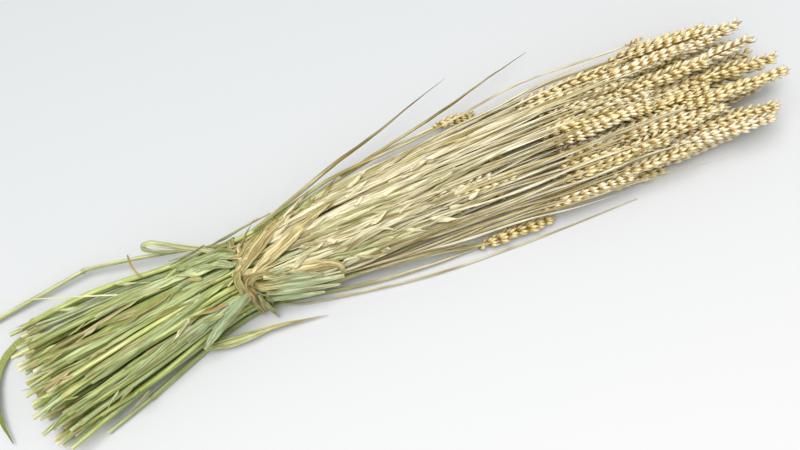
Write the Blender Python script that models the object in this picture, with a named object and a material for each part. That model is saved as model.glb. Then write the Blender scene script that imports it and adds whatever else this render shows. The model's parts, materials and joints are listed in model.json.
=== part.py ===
"""Bundle of dried wheat, lying down: stalks with their ears, loose leaf blades and the tie.

The bundle runs along X, cut ends at -X and ears at +X, and rests on Z = 0. All sizes are in metres.
"""

import math
import random

import bmesh
import bpy
from mathutils import Matrix, Vector

for leftover in list(bpy.data.objects):
    bpy.data.objects.remove(leftover, do_unlink=True)

# ---------------------------------------------------------------- driving sizes
GAP = 0.0003               # clearance between neighbouring pieces
SIDES = 6                  # sides of a stalk's section
SEED = 4115

# The stalks lie in nested rows where they are tied, from the lowest row up.
ROW_COUNTS = (8, 9, 10, 11, 10, 9, 8, 7, 4)
PITCH = 0.0054             # between neighbours in a row, at the tie
ROW_PITCH = PITCH * math.sqrt(3) / 2
JOINED_ROWS = (0, 1, 2, 3, 4)  # the hidden middle of these rows is one piece each

# Stations along the bundle: distance along X, middle of the bundle in Y, spread in Y and in Z,
# height of the lowest row, stem radius, and how far a stem may wander in Y and in Z.
TIE_X = -0.143
STATIONS = (
    # x       middle   spread  rise   floor    radius   wander_y wander_z
    (-0.343,  0.001,   1.95,   1.07,  0.0021,  0.0021,  0.0024,  0.00020),
    (-0.240,  0.015,   1.50,   1.07,  0.0026,  0.0023,  0.0012,  0.00010),
    (-0.158,  0.025,   1.00,   1.00,  0.0042,  0.0025,  0.0000,  0.00000),
    (-0.128,  0.025,   1.00,   1.00,  0.0042,  0.0025,  0.0000,  0.00000),
    (-0.060,  0.0255,  1.42,   1.03,  0.0034,  0.0020,  0.0014,  0.00015),
    (0.030,   0.026,   1.64,   1.08,  0.0034,  0.0016,  0.0021,  0.00060),
    (0.130,   0.0235,  1.80,   1.16,  0.0040,  0.00135, 0.0012,  0.00060),
    (0.350,   0.012,   1.95,   1.25,  0.0043,  0.0013,  0.0004,  0.00040),
)

# Ears: tips in three steps so that neighbours nest, then brought back towards the sides.
EAR_TIPS = (0.332, 0.277, 0.222)
TIP_SCATTER = 0.006
SIDE_PULL = 0.030          # how far the outermost ears sit behind the middle ones
EAR_LENGTHS = (0.084, 0.098)
EAR_PROFILE = ((0.0, 0.0013), (0.12, 0.0030), (0.38, 0.0038), (0.70, 0.0033), (0.92, 0.0018),
               (1.0, 0.0005))
SHORT_TIPS = (0.062, 0.104)  # a few stalks are so short that their ears sit among the straws
SHORT_SHARE = 0.32
CUT_X = -0.343
CUT_SCATTER = 0.024

# Tie: leaf blades wound once round the waist, with a knot on the upper face.
TIE_WIDTH = 0.014
TIE_THICK = 0.0014
KNOT_RADIUS = 0.0070
KNOT_THICK = 0.0030
KNOT_FLAT = 0.8             # the knot is pressed flatter than it is round

LEAF_THICK = 0.0006
BLADE_LIFT = 0.0034        # how high the tie blades lie over the stems under them

# ---------------------------------------------------------------- materials
COLOURS = {
    "straw": ((0.66, 0.52, 0.26, 1.0), 0.55),
    "leaf_dry": ((0.60, 0.47, 0.25, 1.0), 0.65),
    "leaf_green": ((0.30, 0.34, 0.13, 1.0), 0.60),
    "tie_leaf": ((0.50, 0.42, 0.22, 1.0), 0.65),
}


def material(name):
    """The material of this name, made on first use."""
    found = bpy.data.materials.get(name)
    if found:
        return found
    colour, roughness = COLOURS[name]
    found = bpy.data.materials.new(name)
    found.use_nodes = True
    shader = found.node_tree.nodes["Principled BSDF"]
    shader.inputs["Base Color"].default_value = colour
    shader.inputs["Roughness"].default_value = roughness
    shader.inputs["Metallic"].default_value = 0.0
    found.diffuse_color = colour
    return found


def add_object(name, bm, slot):
    """Turns a finished bmesh into a smooth-shaded object of its own."""
    bmesh.ops.remove_doubles(bm, verts=bm.verts, dist=1e-6)
    bmesh.ops.recalc_face_normals(bm, faces=bm.faces)
    for face in bm.faces:
        face.smooth = True
    mesh = bpy.data.meshes.new(name)
    bm.to_mesh(mesh)
    bm.free()
    mesh.materials.append(material(slot))
    item = bpy.data.objects.new(name, mesh)
    bpy.context.scene.collection.objects.link(item)
    return item


# ---------------------------------------------------------------- layout of the stalks
def station_mix(x):
    """The two stations around x and the share of the second one."""
    last = len(STATIONS) - 1
    for low in range(last):
        if x <= STATIONS[low + 1][0] or low == last - 1:
            start, end = STATIONS[low][0], STATIONS[low + 1][0]
            return low, (x - start) / (end - start)


def station_value(x, column):
    """One of the station columns, straight between stations."""
    low, share = station_mix(x)
    return STATIONS[low][column] * (1 - share) + STATIONS[low + 1][column] * share


class Stalk:
    """One stem with its ear: its place in the rows and its own small wanderings."""

    def __init__(self, row, across, start, base, tip, drift=None):
        self.row = row
        self.across = across
        self.start = start
        self.base = base
        self.tip = tip
        self.ear_scale = min(1.0, (tip - base) / EAR_LENGTHS[0])
        self.drift = drift or [(0.0, 0.0)] * len(STATIONS)

    def centre(self, x):
        low, share = station_mix(x)
        points = []
        for index in (low, low + 1):
            _, middle, spread, rise, floor, *_ = STATIONS[index]
            aside, up = self.drift[index]
            y = middle + spread * self.across + aside
            z = floor + rise * ROW_PITCH * self.row + up
            points.append(Vector((0, y, z)))
        point = points[0].lerp(points[1], share)
        point.x = x
        return point

    def rings(self):
        """Centre and radius of each section, from the cut end to the tip of the ear."""
        xs = [self.start] + [s[0] for s in STATIONS if self.start + 0.004 < s[0] < self.base - 0.004]
        sections = [(self.centre(x), station_value(x, 5)) for x in xs]
        for share, radius in EAR_PROFILE:
            x = self.base + share * (self.tip - self.base)
            wide = max(radius * self.ear_scale, 0.0005)
            sections.append((self.centre(x), wide))
        return sections


def lay_out():
    """Every stalk, row by row, with a seeded scatter."""
    dice = random.Random(SEED)
    stalks = []
    for row, count in enumerate(ROW_COUNTS):
        for place in range(count):
            across = (place - (count - 1) / 2) * PITCH
            diagonal = round((across - row * PITCH / 2) / PITCH + 20)
            step = (diagonal - row) % 3
            side = abs(across) / (5 * PITCH)
            tip = EAR_TIPS[step] - SIDE_PULL * side ** 3 + dice.uniform(-1, 1) * TIP_SCATTER
            if step == 0 and side < 0.7 and dice.random() < SHORT_SHARE:
                tip = dice.uniform(*SHORT_TIPS)
            base = tip - dice.uniform(*EAR_LENGTHS)
            start = CUT_X + dice.random() ** 1.6 * CUT_SCATTER
            if row < 2 and dice.random() < 0.4:
                start += dice.uniform(0.02, 0.06)
            drift = []
            for station in STATIONS:
                aside = dice.uniform(-1, 1) * station[6]
                up = dice.uniform(-1, 1) * station[7]
                drift.append((aside, max(up, 0.0) if row == 0 else up))
            stalks.append(Stalk(row, across, start, base, tip, drift))
    return stalks


def outward(first, last, amount, up=0.0):
    """Drift that grows from station first to station last, for a stalk that strays aside."""
    drift = []
    for index in range(len(STATIONS)):
        share = min(max((index - first) / (last - first), 0.0), 1.0)
        drift.append((amount * share, up * share))
    return drift


def section(bm, centre, radius, turn=0.0):
    ring = []
    for side in range(SIDES):
        angle = turn + 2 * math.pi * side / SIDES
        offset = Vector((0, math.cos(angle), math.sin(angle))) * radius
        ring.append(bm.verts.new(centre + offset))
    return ring


def bridge(bm, one, two):
    count = len(one)
    for side in range(count):
        after = (side + 1) % count
        bm.faces.new((one[side], one[after], two[after], two[side]))


def tube(bm, sections, turn=0.0):
    """Rings joined end to end. Returns the first and the last ring."""
    rings = [section(bm, centre, radius, turn) for centre, radius in sections]
    for one, two in zip(rings, rings[1:]):
        bridge(bm, one, two)
    return rings[0], rings[-1]


def single_stalk(name, stalk):
    bm = bmesh.new()
    first, last = tube(bm, stalk.rings(), math.pi / 6)
    bm.faces.new(first)
    bm.faces.new(last)
    return add_object(name, bm, "straw")


def joined_row(name, row_stalks):
    """The hidden middle of one row: its stalks pressed into one piece where they are tied."""
    bm = bmesh.new()
    ends = (TIE_X - 0.005, TIE_X + 0.005)
    low, high = 0.0012, 0.0021
    for number, stalk in enumerate(row_stalks):
        cells = []
        for x in ends:
            middle = stalk.centre(x)
            half = PITCH / 2
            corners = ((half, low), (0, high), (-half, low), (-half, -low), (0, -high), (half, -low))
            cells.append([bm.verts.new(middle + Vector((0, y, z))) for y, z in corners])
        for side in range(6):
            after = (side + 1) % 6
            left_wall, right_wall = side == 2, side == 5
            if left_wall and number > 0 or right_wall and number < len(row_stalks) - 1:
                continue
            bm.faces.new((cells[0][side], cells[0][after], cells[1][after], cells[1][side]))
        sections = stalk.rings()
        before = [s for s in sections if s[0].x < ends[0]]
        beyond = [s for s in sections if s[0].x > ends[1]]
        for cell, x, run in ((cells[0], ends[0], before[::-1]), (cells[1], ends[1], beyond)):
            first, last = tube(bm, [(stalk.centre(x), 0.0019)] + run, math.pi / 6)
            bridge(bm, cell, first)
            bm.faces.new(last)
    return add_object(name, bm, "straw")


# ---------------------------------------------------------------- leaf blades
def blade(name, points, widths, slot, facing=(0, 0, 1), fold=0.25, thick=LEAF_THICK, turns=None):
    """A leaf blade along points: a shallow V in section, widths across, and facing up at first."""
    bm = bmesh.new()
    path = [Vector(p) for p in points]
    rings = []
    up = Vector(facing)
    for index, point in enumerate(path):
        ahead = path[min(index + 1, len(path) - 1)] - path[max(index - 1, 0)]
        ahead.normalize()
        up = (up - ahead * up.dot(ahead)).normalized()
        turned = up
        if turns:
            turned = Matrix.Rotation(math.radians(turns[index]), 3, ahead) @ up
        side = ahead.cross(turned)
        half = widths[index] / 2
        keel = turned * (half * fold)
        top = turned * (thick / 2)
        ring = (side * half + top, -keel + top, -side * half + top,
                -side * half - top, -keel - top, side * half - top)
        rings.append([bm.verts.new(point + offset) for offset in ring])
    for one, two in zip(rings, rings[1:]):
        bridge(bm, one, two)
    bm.faces.new(rings[0])
    bm.faces.new(rings[-1])
    return add_object(name, bm, slot)


def strand(name, points, radii, slot):
    """A thin round stem or rolled leaf along points."""
    path = bpy.data.curves.new(name, "CURVE")
    path.dimensions = "3D"
    path.bevel_depth = 1.0
    path.bevel_resolution = 1
    path.use_fill_caps = True
    line = path.splines.new("POLY")
    line.points.add(len(points) - 1)
    for point, place, radius in zip(line.points, points, radii):
        point.co = (*place, 1.0)
        point.radius = radius
    line.use_smooth = True
    path.materials.append(material(slot))
    item = bpy.data.objects.new(name, path)
    bpy.context.scene.collection.objects.link(item)
    return item


# ---------------------------------------------------------------- tie
def hull(points):
    """Indices of the outline of flat points, anticlockwise."""
    order = sorted(range(len(points)), key=lambda i: points[i])

    def half(indices):
        chain = []
        for i in indices:
            while len(chain) > 1:
                (ax, ay), (bx, by), (cx, cy) = points[chain[-2]], points[chain[-1]], points[i]
                if (bx - ax) * (cy - ay) - (by - ay) * (cx - ax) > 1e-9:
                    break
                chain.pop()
            chain.append(i)
        return chain[:-1]

    return half(order) + half(order[::-1])


def tie_band(name, stalks):
    """A flat-bottomed band that follows the outline of the tied stalks."""
    centres = [stalk.centre(TIE_X) for stalk in stalks]
    steps = [2 * math.pi * k / 12 for k in range(12)]
    stem = station_value(TIE_X, 5)

    def outline(radius):
        return [(c.y + radius * math.cos(a), c.z + radius * math.sin(a)) for c in centres for a in steps]

    outer = outline(stem + GAP + TIE_THICK)
    inner = outline(stem + GAP)
    around = hull(outer)
    bm = bmesh.new()
    loops = []
    for side in (-1, 1):
        x = TIE_X + side * TIE_WIDTH / 2
        loops.append([bm.verts.new((x, *outer[i])) for i in around])
        loops.append([bm.verts.new((x, *inner[i])) for i in around])
    bridge(bm, loops[0], loops[2])
    bridge(bm, loops[1], loops[3])
    bridge(bm, loops[0], loops[1])
    bridge(bm, loops[2], loops[3])
    return add_object(name, bm, "tie_leaf")


def tie_knot(name, stalks):
    """The knot: a blade turned on itself into a flattened ring, on the slope beside the top row."""
    row = len(ROW_COUNTS) - 1
    upper_end = -(ROW_COUNTS[row] - 1) / 2 * PITCH
    lower_end = -(ROW_COUNTS[row - 1] - 1) / 2 * PITCH
    slope = math.atan2(ROW_PITCH, upper_end - lower_end)
    _, middle, spread, rise, floor, stem, *_ = STATIONS[2]
    foot = Vector((TIE_X + 0.004, middle + (upper_end + lower_end) / 2, floor + (row - 0.5) * ROW_PITCH))
    out = Vector((0, -math.sin(slope), math.cos(slope)))
    lift = stem + TIE_THICK + 2 * GAP + KNOT_FLAT * KNOT_THICK
    bpy.ops.mesh.primitive_torus_add(
        major_radius=KNOT_RADIUS, minor_radius=KNOT_THICK, major_segments=14, minor_segments=6)
    item = bpy.context.object
    item.name = name
    item.data.name = name
    item.scale = (1.15, 1.0, KNOT_FLAT)
    item.rotation_euler.x = slope
    item.location = foot + out * lift
    for face in item.data.polygons:
        face.use_smooth = True
    item.data.materials.append(material("tie_leaf"))
    return item


def laid_on(stalks, places, halves, facing, clear):
    """Points of a blade laid on the bundle, at each place in X and Y, pressed down against facing."""
    normal = Vector((0, *facing)).normalized()
    across = Vector((0, normal.z, -normal.y))
    points = []
    for (x, y), half in zip(places, halves):
        point = Vector((x, y, 0.030))
        band = TIE_THICK + GAP if abs(x - TIE_X) < TIE_WIDTH / 2 + 0.003 else 0.0
        reach = half + (0.004 if band else 0.0)
        for _ in range(3):
            heights = []
            for stalk in stalks:
                for near in (x - 0.006, x, x + 0.006):
                    if not stalk.start < near < stalk.tip:
                        continue
                    radius = station_value(near, 5) if near < stalk.base else EAR_PROFILE[2][1]
                    away = stalk.centre(near) - Vector((near, point.y, point.z))
                    if abs(away.dot(across)) < reach + radius:
                        heights.append(away.dot(normal) + radius)
            point = point + normal * max(heights)
            point.y = y
        points.append(point + normal * (band + clear))
    return points


# ---------------------------------------------------------------- build
stalks = lay_out()
upper, lower = 5.5 * PITCH, -5.5 * PITCH
strays = [
    Stalk(0, lower, -0.300, 0.044, 0.114, outward(3, 5, -0.005)),
    Stalk(0, lower + PITCH, -0.318, 0.150, 0.221, outward(3, 6, -0.003)),
    Stalk(2, upper, -0.322, 0.050, 0.088, outward(3, 5, 0.002)),
    Stalk(4, upper, -0.331, 0.228, 0.247, outward(3, 6, 0.003)),
]

number = 0
for row, count in enumerate(ROW_COUNTS):
    in_row = [s for s in stalks if s.row == row]
    hidden = in_row[1:-1] if row in JOINED_ROWS else []
    for stalk in in_row:
        if stalk not in hidden:
            number += 1
            single_stalk(f"stalk_{number:02d}", stalk)
    if hidden:
        joined_row(f"stalk_row_{row}", hidden)
for stalk in strays:
    number += 1
    single_stalk(f"stalk_{number:02d}", stalk)

tied = stalks + strays
tie_band("tie_band", tied)
tie_knot("tie_knot", tied)

TIE_BLADES = (
    # name, slot, facing in Y and Z, places in X and Y, widths
    ("tie_blade_a", "tie_leaf", (0.25, 1.0),
     ((-0.092, 0.0590), (-0.112, 0.0490), (-0.130, 0.0370), (-0.142, 0.0290), (-0.153, 0.0240)),
     (0.0030, 0.0090, 0.0105, 0.0070, 0.0040)),
    ("tie_blade_b", "tie_leaf", (0.0, 1.0),
     ((-0.059, 0.0480), (-0.078, 0.0420), (-0.098, 0.0350), (-0.118, 0.0270), (-0.131, 0.0220)),
     (0.0020, 0.0070, 0.0105, 0.0090, 0.0050)),
    ("tie_blade_c", "tie_leaf", (-0.45, 1.0),
     ((-0.122, 0.0090), (-0.106, 0.0070), (-0.090, 0.0040), (-0.069, -0.0030)),
     (0.0040, 0.0080, 0.0090, 0.0040)),
    ("tie_tail", "leaf_green", (-0.9, 1.0),
     ((-0.152, 0.0030), (-0.166, -0.0030), (-0.180, -0.0090), (-0.194, -0.0160)),
     (0.0050, 0.0095, 0.0095, 0.0050)),
)
for name, slot, facing, places, widths in TIE_BLADES:
    halves = [width / 2 for width in widths]
    points = laid_on(tied, places, halves, facing, BLADE_LIFT)
    blade(name, points, widths, slot, facing=(0, *facing))

# Leaves that stand clear of the bundle: name, slot, points, widths, turn about the blade in degrees.
LEAVES = (
    ("leaf_upper_a", "leaf_dry",
     ((-0.098, 0.0630, 0.0285), (-0.044, 0.0790, 0.0305), (0.000, 0.0900, 0.0290),
      (0.040, 0.1030, 0.0245), (0.077, 0.1150, 0.0160)),
     (0.0040, 0.0062, 0.0056, 0.0040, 0.0012), (0, 10, 25, 40, 50)),
    ("leaf_upper_b", "leaf_dry",
     ((-0.006, 0.0765, 0.0185), (0.064, 0.0880, 0.0230), (0.110, 0.0990, 0.0200),
      (0.152, 0.1095, 0.0110)),
     (0.0030, 0.0048, 0.0036, 0.0012), (0, 15, 30, 50)),
    ("leaf_low_tie", "leaf_green",
     ((-0.186, -0.0200, 0.0085), (-0.160, -0.0205, 0.0090), (-0.140, -0.0220, 0.0080),
      (-0.116, -0.0265, 0.0055), (-0.0955, -0.0310, 0.0020)),
     (0.0050, 0.0090, 0.0088, 0.0060, 0.0015), (0, -10, -20, -15, 0)),
    ("leaf_loop", "leaf_dry",
     ((-0.174, 0.0600, 0.0280), (-0.190, 0.0690, 0.0330), (-0.203, 0.0770, 0.0360),
      (-0.211, 0.0800, 0.0340), (-0.214, 0.0785, 0.0285), (-0.208, 0.0740, 0.0240),
      (-0.197, 0.0690, 0.0220)),
     (0.0050, 0.0074, 0.0074, 0.0066, 0.0060, 0.0048, 0.0020), (0,) * 7),
    ("leaf_cut_end", "leaf_green",
     ((-0.318, 0.0545, 0.0045), (-0.345, 0.0510, 0.0050), (-0.364, 0.0370, 0.0070),
      (-0.374, 0.0160, 0.0090), (-0.377, -0.0040, 0.0090), (-0.375, -0.0250, 0.0050)),
     (0.0040, 0.0070, 0.0075, 0.0075, 0.0065, 0.0015), (0,) * 6),
)
for name, slot, points, widths, turns in LEAVES:
    blade(name, points, widths, slot, turns=turns)

strand("strand_low",
       ((-0.100, -0.0195, 0.0045), (-0.010, -0.0340, 0.0030), (0.066, -0.0410, 0.0016),
        (0.130, -0.0440, 0.0012), (0.187, -0.0455, 0.0010)),
       (0.0009, 0.0010, 0.0010, 0.0009, 0.0006), "leaf_dry")
strand("stray_stem",
       ((-0.162, 0.0605, 0.0160), (-0.211, 0.0730, 0.0135), (-0.262, 0.0840, 0.0110),
        (-0.272, 0.0845, 0.0105), (-0.348, 0.0770, 0.0050), (-0.360, 0.0760, 0.0035)),
       (0.0014, 0.0019, 0.0021, 0.0021, 0.0022, 0.0022), "leaf_green")

# The origin is the middle of the footprint, on the floor.
bpy.context.view_layer.update()
graph = bpy.context.evaluated_depsgraph_get()
corners = []
for item in bpy.context.scene.objects:
    shape = item.evaluated_get(graph).to_mesh()
    corners += [item.matrix_world @ v.co for v in shape.vertices]
middle_x = (min(c.x for c in corners) + max(c.x for c in corners)) / 2
middle_y = (min(c.y for c in corners) + max(c.y for c in corners)) / 2
for item in bpy.context.scene.objects:
    item.location.x -= middle_x
    item.location.y -= middle_y
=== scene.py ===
# %% [markdown]
# # A bundle of dried wheat, lying on its side
# The bundle runs along X. The cut ends are at the low end and the ears at the high end, and it
# rests on Z = 0. The packed model gives every stalk a plain solid. Here each one is grown again in
# full: a hollow straw, the leaf sheaths that wrap it, and an ear of overlapping spikelets.

# %% Start from the packed model
import json
import math
import random

import bpy
import numpy as np
from mathutils import Matrix, Vector

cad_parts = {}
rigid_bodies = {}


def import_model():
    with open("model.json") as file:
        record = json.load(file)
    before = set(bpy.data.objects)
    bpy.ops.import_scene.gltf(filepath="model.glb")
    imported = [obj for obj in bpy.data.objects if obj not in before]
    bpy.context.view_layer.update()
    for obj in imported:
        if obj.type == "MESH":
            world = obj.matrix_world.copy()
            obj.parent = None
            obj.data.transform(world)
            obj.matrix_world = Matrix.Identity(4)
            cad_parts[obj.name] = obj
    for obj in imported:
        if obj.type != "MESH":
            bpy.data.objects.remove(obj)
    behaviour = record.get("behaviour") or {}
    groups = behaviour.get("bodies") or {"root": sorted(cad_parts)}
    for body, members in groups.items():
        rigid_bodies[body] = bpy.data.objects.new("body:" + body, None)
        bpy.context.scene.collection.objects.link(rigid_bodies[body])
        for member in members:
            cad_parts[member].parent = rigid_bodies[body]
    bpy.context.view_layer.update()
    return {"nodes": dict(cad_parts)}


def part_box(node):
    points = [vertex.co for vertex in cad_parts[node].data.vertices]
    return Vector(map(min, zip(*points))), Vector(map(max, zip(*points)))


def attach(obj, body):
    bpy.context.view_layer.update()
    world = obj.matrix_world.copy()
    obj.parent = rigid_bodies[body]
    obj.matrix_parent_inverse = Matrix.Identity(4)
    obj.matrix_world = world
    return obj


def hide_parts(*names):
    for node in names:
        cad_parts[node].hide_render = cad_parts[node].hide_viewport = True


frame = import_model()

print("nodes in the frame:", len(frame["nodes"]))

# %% [markdown]
# ## Sizes of the bundle
# A tied bundle is packed like pencils in a fist: at the waist the stems nest in rows, and they fan
# out on both sides of it. Each station is a place along X and says how the rows lie there. These
# are the sizes and the seed that the solids were laid out with, in metres.

# %% Sizes of the bundle
PITCH = 0.0054
ROW_PITCH = PITCH * math.sqrt(3) / 2
ROW_COUNTS = (8, 9, 10, 11, 10, 9, 8, 7, 4)
JOINED_ROWS = (0, 1, 2, 3, 4)
SEED = 4115
TIE_X = -0.143
TIE_Y = 0.025
STATIONS = (
    # x       middle   spread  rise   floor    radius   wander_y wander_z
    (-0.343,  0.001,   1.95,   1.07,  0.0021,  0.0021,  0.0024,  0.00020),
    (-0.240,  0.015,   1.50,   1.07,  0.0026,  0.0023,  0.0012,  0.00010),
    (-0.158,  0.025,   1.00,   1.00,  0.0042,  0.0025,  0.0000,  0.00000),
    (-0.128,  0.025,   1.00,   1.00,  0.0042,  0.0025,  0.0000,  0.00000),
    (-0.060,  0.0255,  1.42,   1.03,  0.0034,  0.0020,  0.0014,  0.00015),
    (0.030,   0.026,   1.64,   1.08,  0.0034,  0.0016,  0.0021,  0.00060),
    (0.130,   0.0235,  1.82,   1.20,  0.0040,  0.00135, 0.0012,  0.00060),
    (0.350,   0.012,   1.95,   1.27,  0.0043,  0.0013,  0.0004,  0.00040),
)
EAR_TIPS = (0.332, 0.277, 0.222)
TIP_SCATTER = 0.006
SIDE_PULL = 0.030
EAR_LENGTHS = (0.084, 0.098)
SHORT_TIPS = (0.062, 0.104)
SHORT_SHARE = 0.32
CUT_X = -0.343
CUT_SCATTER = 0.024

print("stalks in the rows:", sum(ROW_COUNTS), "from the cut end at", CUT_X)

# %% [markdown]
# ## The course of a stalk
# The layout is a rule, so it is worked out again here. A stalk keeps its row and its place in the
# row, and its height and place across are found between two stations. An average over a few
# places rounds the corners. Only the shift to the model's origin is read from the tie's own box.

# %% Course of a stalk
tie_low, tie_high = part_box("tie_band")
SHIFT = Vector(((tie_low.x + tie_high.x) / 2 - TIE_X, (tie_low.y + tie_high.y) / 2 - TIE_Y, 0))


def station_mix(x):
    """The station before x, and how far x is towards the next one."""
    last = len(STATIONS) - 1
    for low in range(last):
        if x <= STATIONS[low + 1][0] or low == last - 1:
            start, end = STATIONS[low][0], STATIONS[low + 1][0]
            return low, (x - start) / (end - start)


class Stalk:
    """One stalk: its row, its place across the row, its ends, and its own wanderings."""

    def __init__(self, row, across, start, base, tip, drift):
        self.row, self.across, self.drift = row, across, drift
        self.start, self.base, self.tip = start, base, tip

    def plain(self, x):
        low, share = station_mix(x)
        ends = []
        for index in (low, low + 1):
            _, middle, spread, rise, floor, *_ = STATIONS[index]
            aside, up = self.drift[index]
            ends.append(Vector((x, middle + spread * self.across + aside,
                                floor + rise * ROW_PITCH * self.row + up)))
        return ends[0].lerp(ends[1], share)

    def centre(self, x):
        """The rounded course of the stalk, without the corners at the stations."""
        near = [self.plain(x + step * 0.010) for step in (-2, -1, 0, 1, 2)]
        point = sum(near, Vector()) / len(near)
        point.x = x
        return point


print("shift to the model's origin:", tuple(round(s, 5) for s in SHIFT))

# %% [markdown]
# ## Rows of stalks
# Ears are thicker than straw and wouldn't fit side by side, so their tips step back in three
# lengths, and a few stalks are much shorter. The dice are thrown in the same order as for the
# solids.

# %% Rows of stalks
def lay_out():
    dice = random.Random(SEED)
    stalks = []
    for row, count in enumerate(ROW_COUNTS):
        for place in range(count):
            across = (place - (count - 1) / 2) * PITCH
            diagonal = round((across - row * PITCH / 2) / PITCH + 20)
            step = (diagonal - row) % 3
            side = abs(across) / (5 * PITCH)
            tip = EAR_TIPS[step] - SIDE_PULL * side ** 3 + dice.uniform(-1, 1) * TIP_SCATTER
            if step == 0 and side < 0.7 and dice.random() < SHORT_SHARE:
                tip = dice.uniform(*SHORT_TIPS)
            base = tip - dice.uniform(*EAR_LENGTHS)
            start = CUT_X + dice.random() ** 1.6 * CUT_SCATTER
            if row < 2 and dice.random() < 0.4:
                start += dice.uniform(0.02, 0.06)
            drift = []
            for station in STATIONS:
                aside = dice.uniform(-1, 1) * station[6]
                up = dice.uniform(-1, 1) * station[7]
                drift.append((aside, max(up, 0.0) if row == 0 else up))
            stalks.append(Stalk(row, across, start, base, tip, drift))
    return stalks


rows = lay_out()
ear_ends = [stalk.tip for stalk in rows]
print("ears end from %.3f to %.3f" % (min(ear_ends), max(ear_ends)))

# %% [markdown]
# ## Stalks that stand apart
# Four stalks lie beside the rows. Each drifts further out from one station to the next.

# %% Stalks apart
def outward(first, last, amount):
    """Drift that grows from station first to station last."""
    shares = [min(max((i - first) / (last - first), 0.0), 1.0) for i in range(len(STATIONS))]
    return [(amount * share, 0.0) for share in shares]


side = 5.5 * PITCH
strays = [
    Stalk(0, -side, -0.300, 0.044, 0.114, outward(3, 5, -0.005)),
    Stalk(0, -side + PITCH, -0.318, 0.150, 0.221, outward(3, 6, -0.003)),
    Stalk(2, side, -0.322, 0.050, 0.088, outward(3, 5, 0.002)),
    Stalk(4, side, -0.331, 0.228, 0.247, outward(3, 6, 0.003)),
]
stalks = rows + strays
print("stalks in all:", len(stalks))

# %% [markdown]
# ## Which stalks share a solid
# In the five lowest rows the stalks between the two outermost can hardly be seen, so the model
# joins them into one solid a row. Every other stalk has its own.

# %% Stalks of each solid
members = {}


def next_name():
    singles = [name for name in members if "row" not in name]
    return f"stalk_{len(singles) + 1:02d}"


for row in range(len(ROW_COUNTS)):
    in_row = [stalk for stalk in rows if stalk.row == row]
    hidden = in_row[1:-1] if row in JOINED_ROWS else []
    for stalk in in_row:
        if stalk not in hidden:
            members[next_name()] = [stalk]
    if hidden:
        members[f"stalk_row_{row}"] = hidden
for stalk in strays:
    members[next_name()] = [stalk]
print("pieces for the stalks:", len(members))

# %% [markdown]
# ## How high the bundle is at any place
# Loose blades lie on the stalks. To rest one there, its height is looked up from the stalks below
# it: the highest one within reach. A table of all the courses, worked out once, makes this quick.

# %% Height of the top surface
GRID_STEP = 0.004
EAR_HALF = 0.0045
BESIDE = 0.002          # height of a blade that lies beside the bundle

grid_x = np.arange(-0.36, 0.36, GRID_STEP)
courses = np.array([[stalk.centre(x) for x in grid_x] for stalk in stalks])
half_thick = np.interp(grid_x, [s[0] for s in STATIONS], [s[5] for s in STATIONS])
present = np.array([(grid_x > s.start) & (grid_x < s.tip) for s in stalks])
in_ear = np.array([(grid_x > s.base) & (grid_x < s.tip) for s in stalks])
half = np.where(in_ear, EAR_HALF, half_thick)


def top_at(x, y, reach=0.003):
    """Height of the bundle's upper surface at x and y, or a little above the floor beside it."""
    column = int(np.clip(round((x - grid_x[0]) / GRID_STEP), 0, len(grid_x) - 1))
    off = np.abs(courses[:, column, 1] - y)
    over = present[:, column] & (off < reach + half[:, column])
    if not over.any():
        return BESIDE
    drop = np.clip(off - reach, 0, None)
    heights = courses[:, column, 2] + np.sqrt(np.maximum(half[:, column] ** 2 - drop ** 2, 0))
    return float(heights[over].max())


print("height at the tie: %.1f mm" % (1000 * top_at(TIE_X, TIE_Y)))

# %% [markdown]
# ## Building node trees in the script
# Both the shapes and the finishes are node trees. This small helper adds one node at a time, and
# takes either a value or another node's output for each socket, so a tree reads as a list.

# %% Helper for node trees
def live(sockets, name):
    """The socket of this name that is in use: some nodes keep one for each type of value."""
    if isinstance(name, int):
        return sockets[name]
    return next(s for s in sockets if s.name == name and s.enabled)


class Builder:
    """Adds nodes to self.group and joins them up."""

    def node(self, kind, sockets=None, **settings):
        node = self.group.nodes.new(kind)
        for key, value in settings.items():
            setattr(node, key, value)
        for key, value in (sockets or {}).items():
            target = live(node.inputs, key)
            if isinstance(value, bpy.types.NodeSocket):
                self.group.links.new(value, target)
            else:
                target.default_value = value
        return node

    def add(self, kind, sockets=None, out=0, **settings):
        """The same, for one output of the node."""
        return live(self.node(kind, sockets, **settings).outputs, out)

    def maths(self, operation, *values):
        return self.add("ShaderNodeMath", dict(enumerate(values)), operation=operation)

    def times(self, a, b):
        return self.maths("MULTIPLY", a, b)

    def vectors(self, operation, *values):
        return self.add("ShaderNodeVectorMath", dict(enumerate(values)), operation=operation)


print("a builder adds:", ", ".join(name for name in vars(Builder) if name[0] != "_"))

# %% [markdown]
# ## Geometry trees
# Geometry Nodes make what repeats or follows a path. Each tree has a named input for each of its
# sizes. It is run as a modifier and the result is kept as a plain mesh, because an export can't
# take a live tree.

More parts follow.
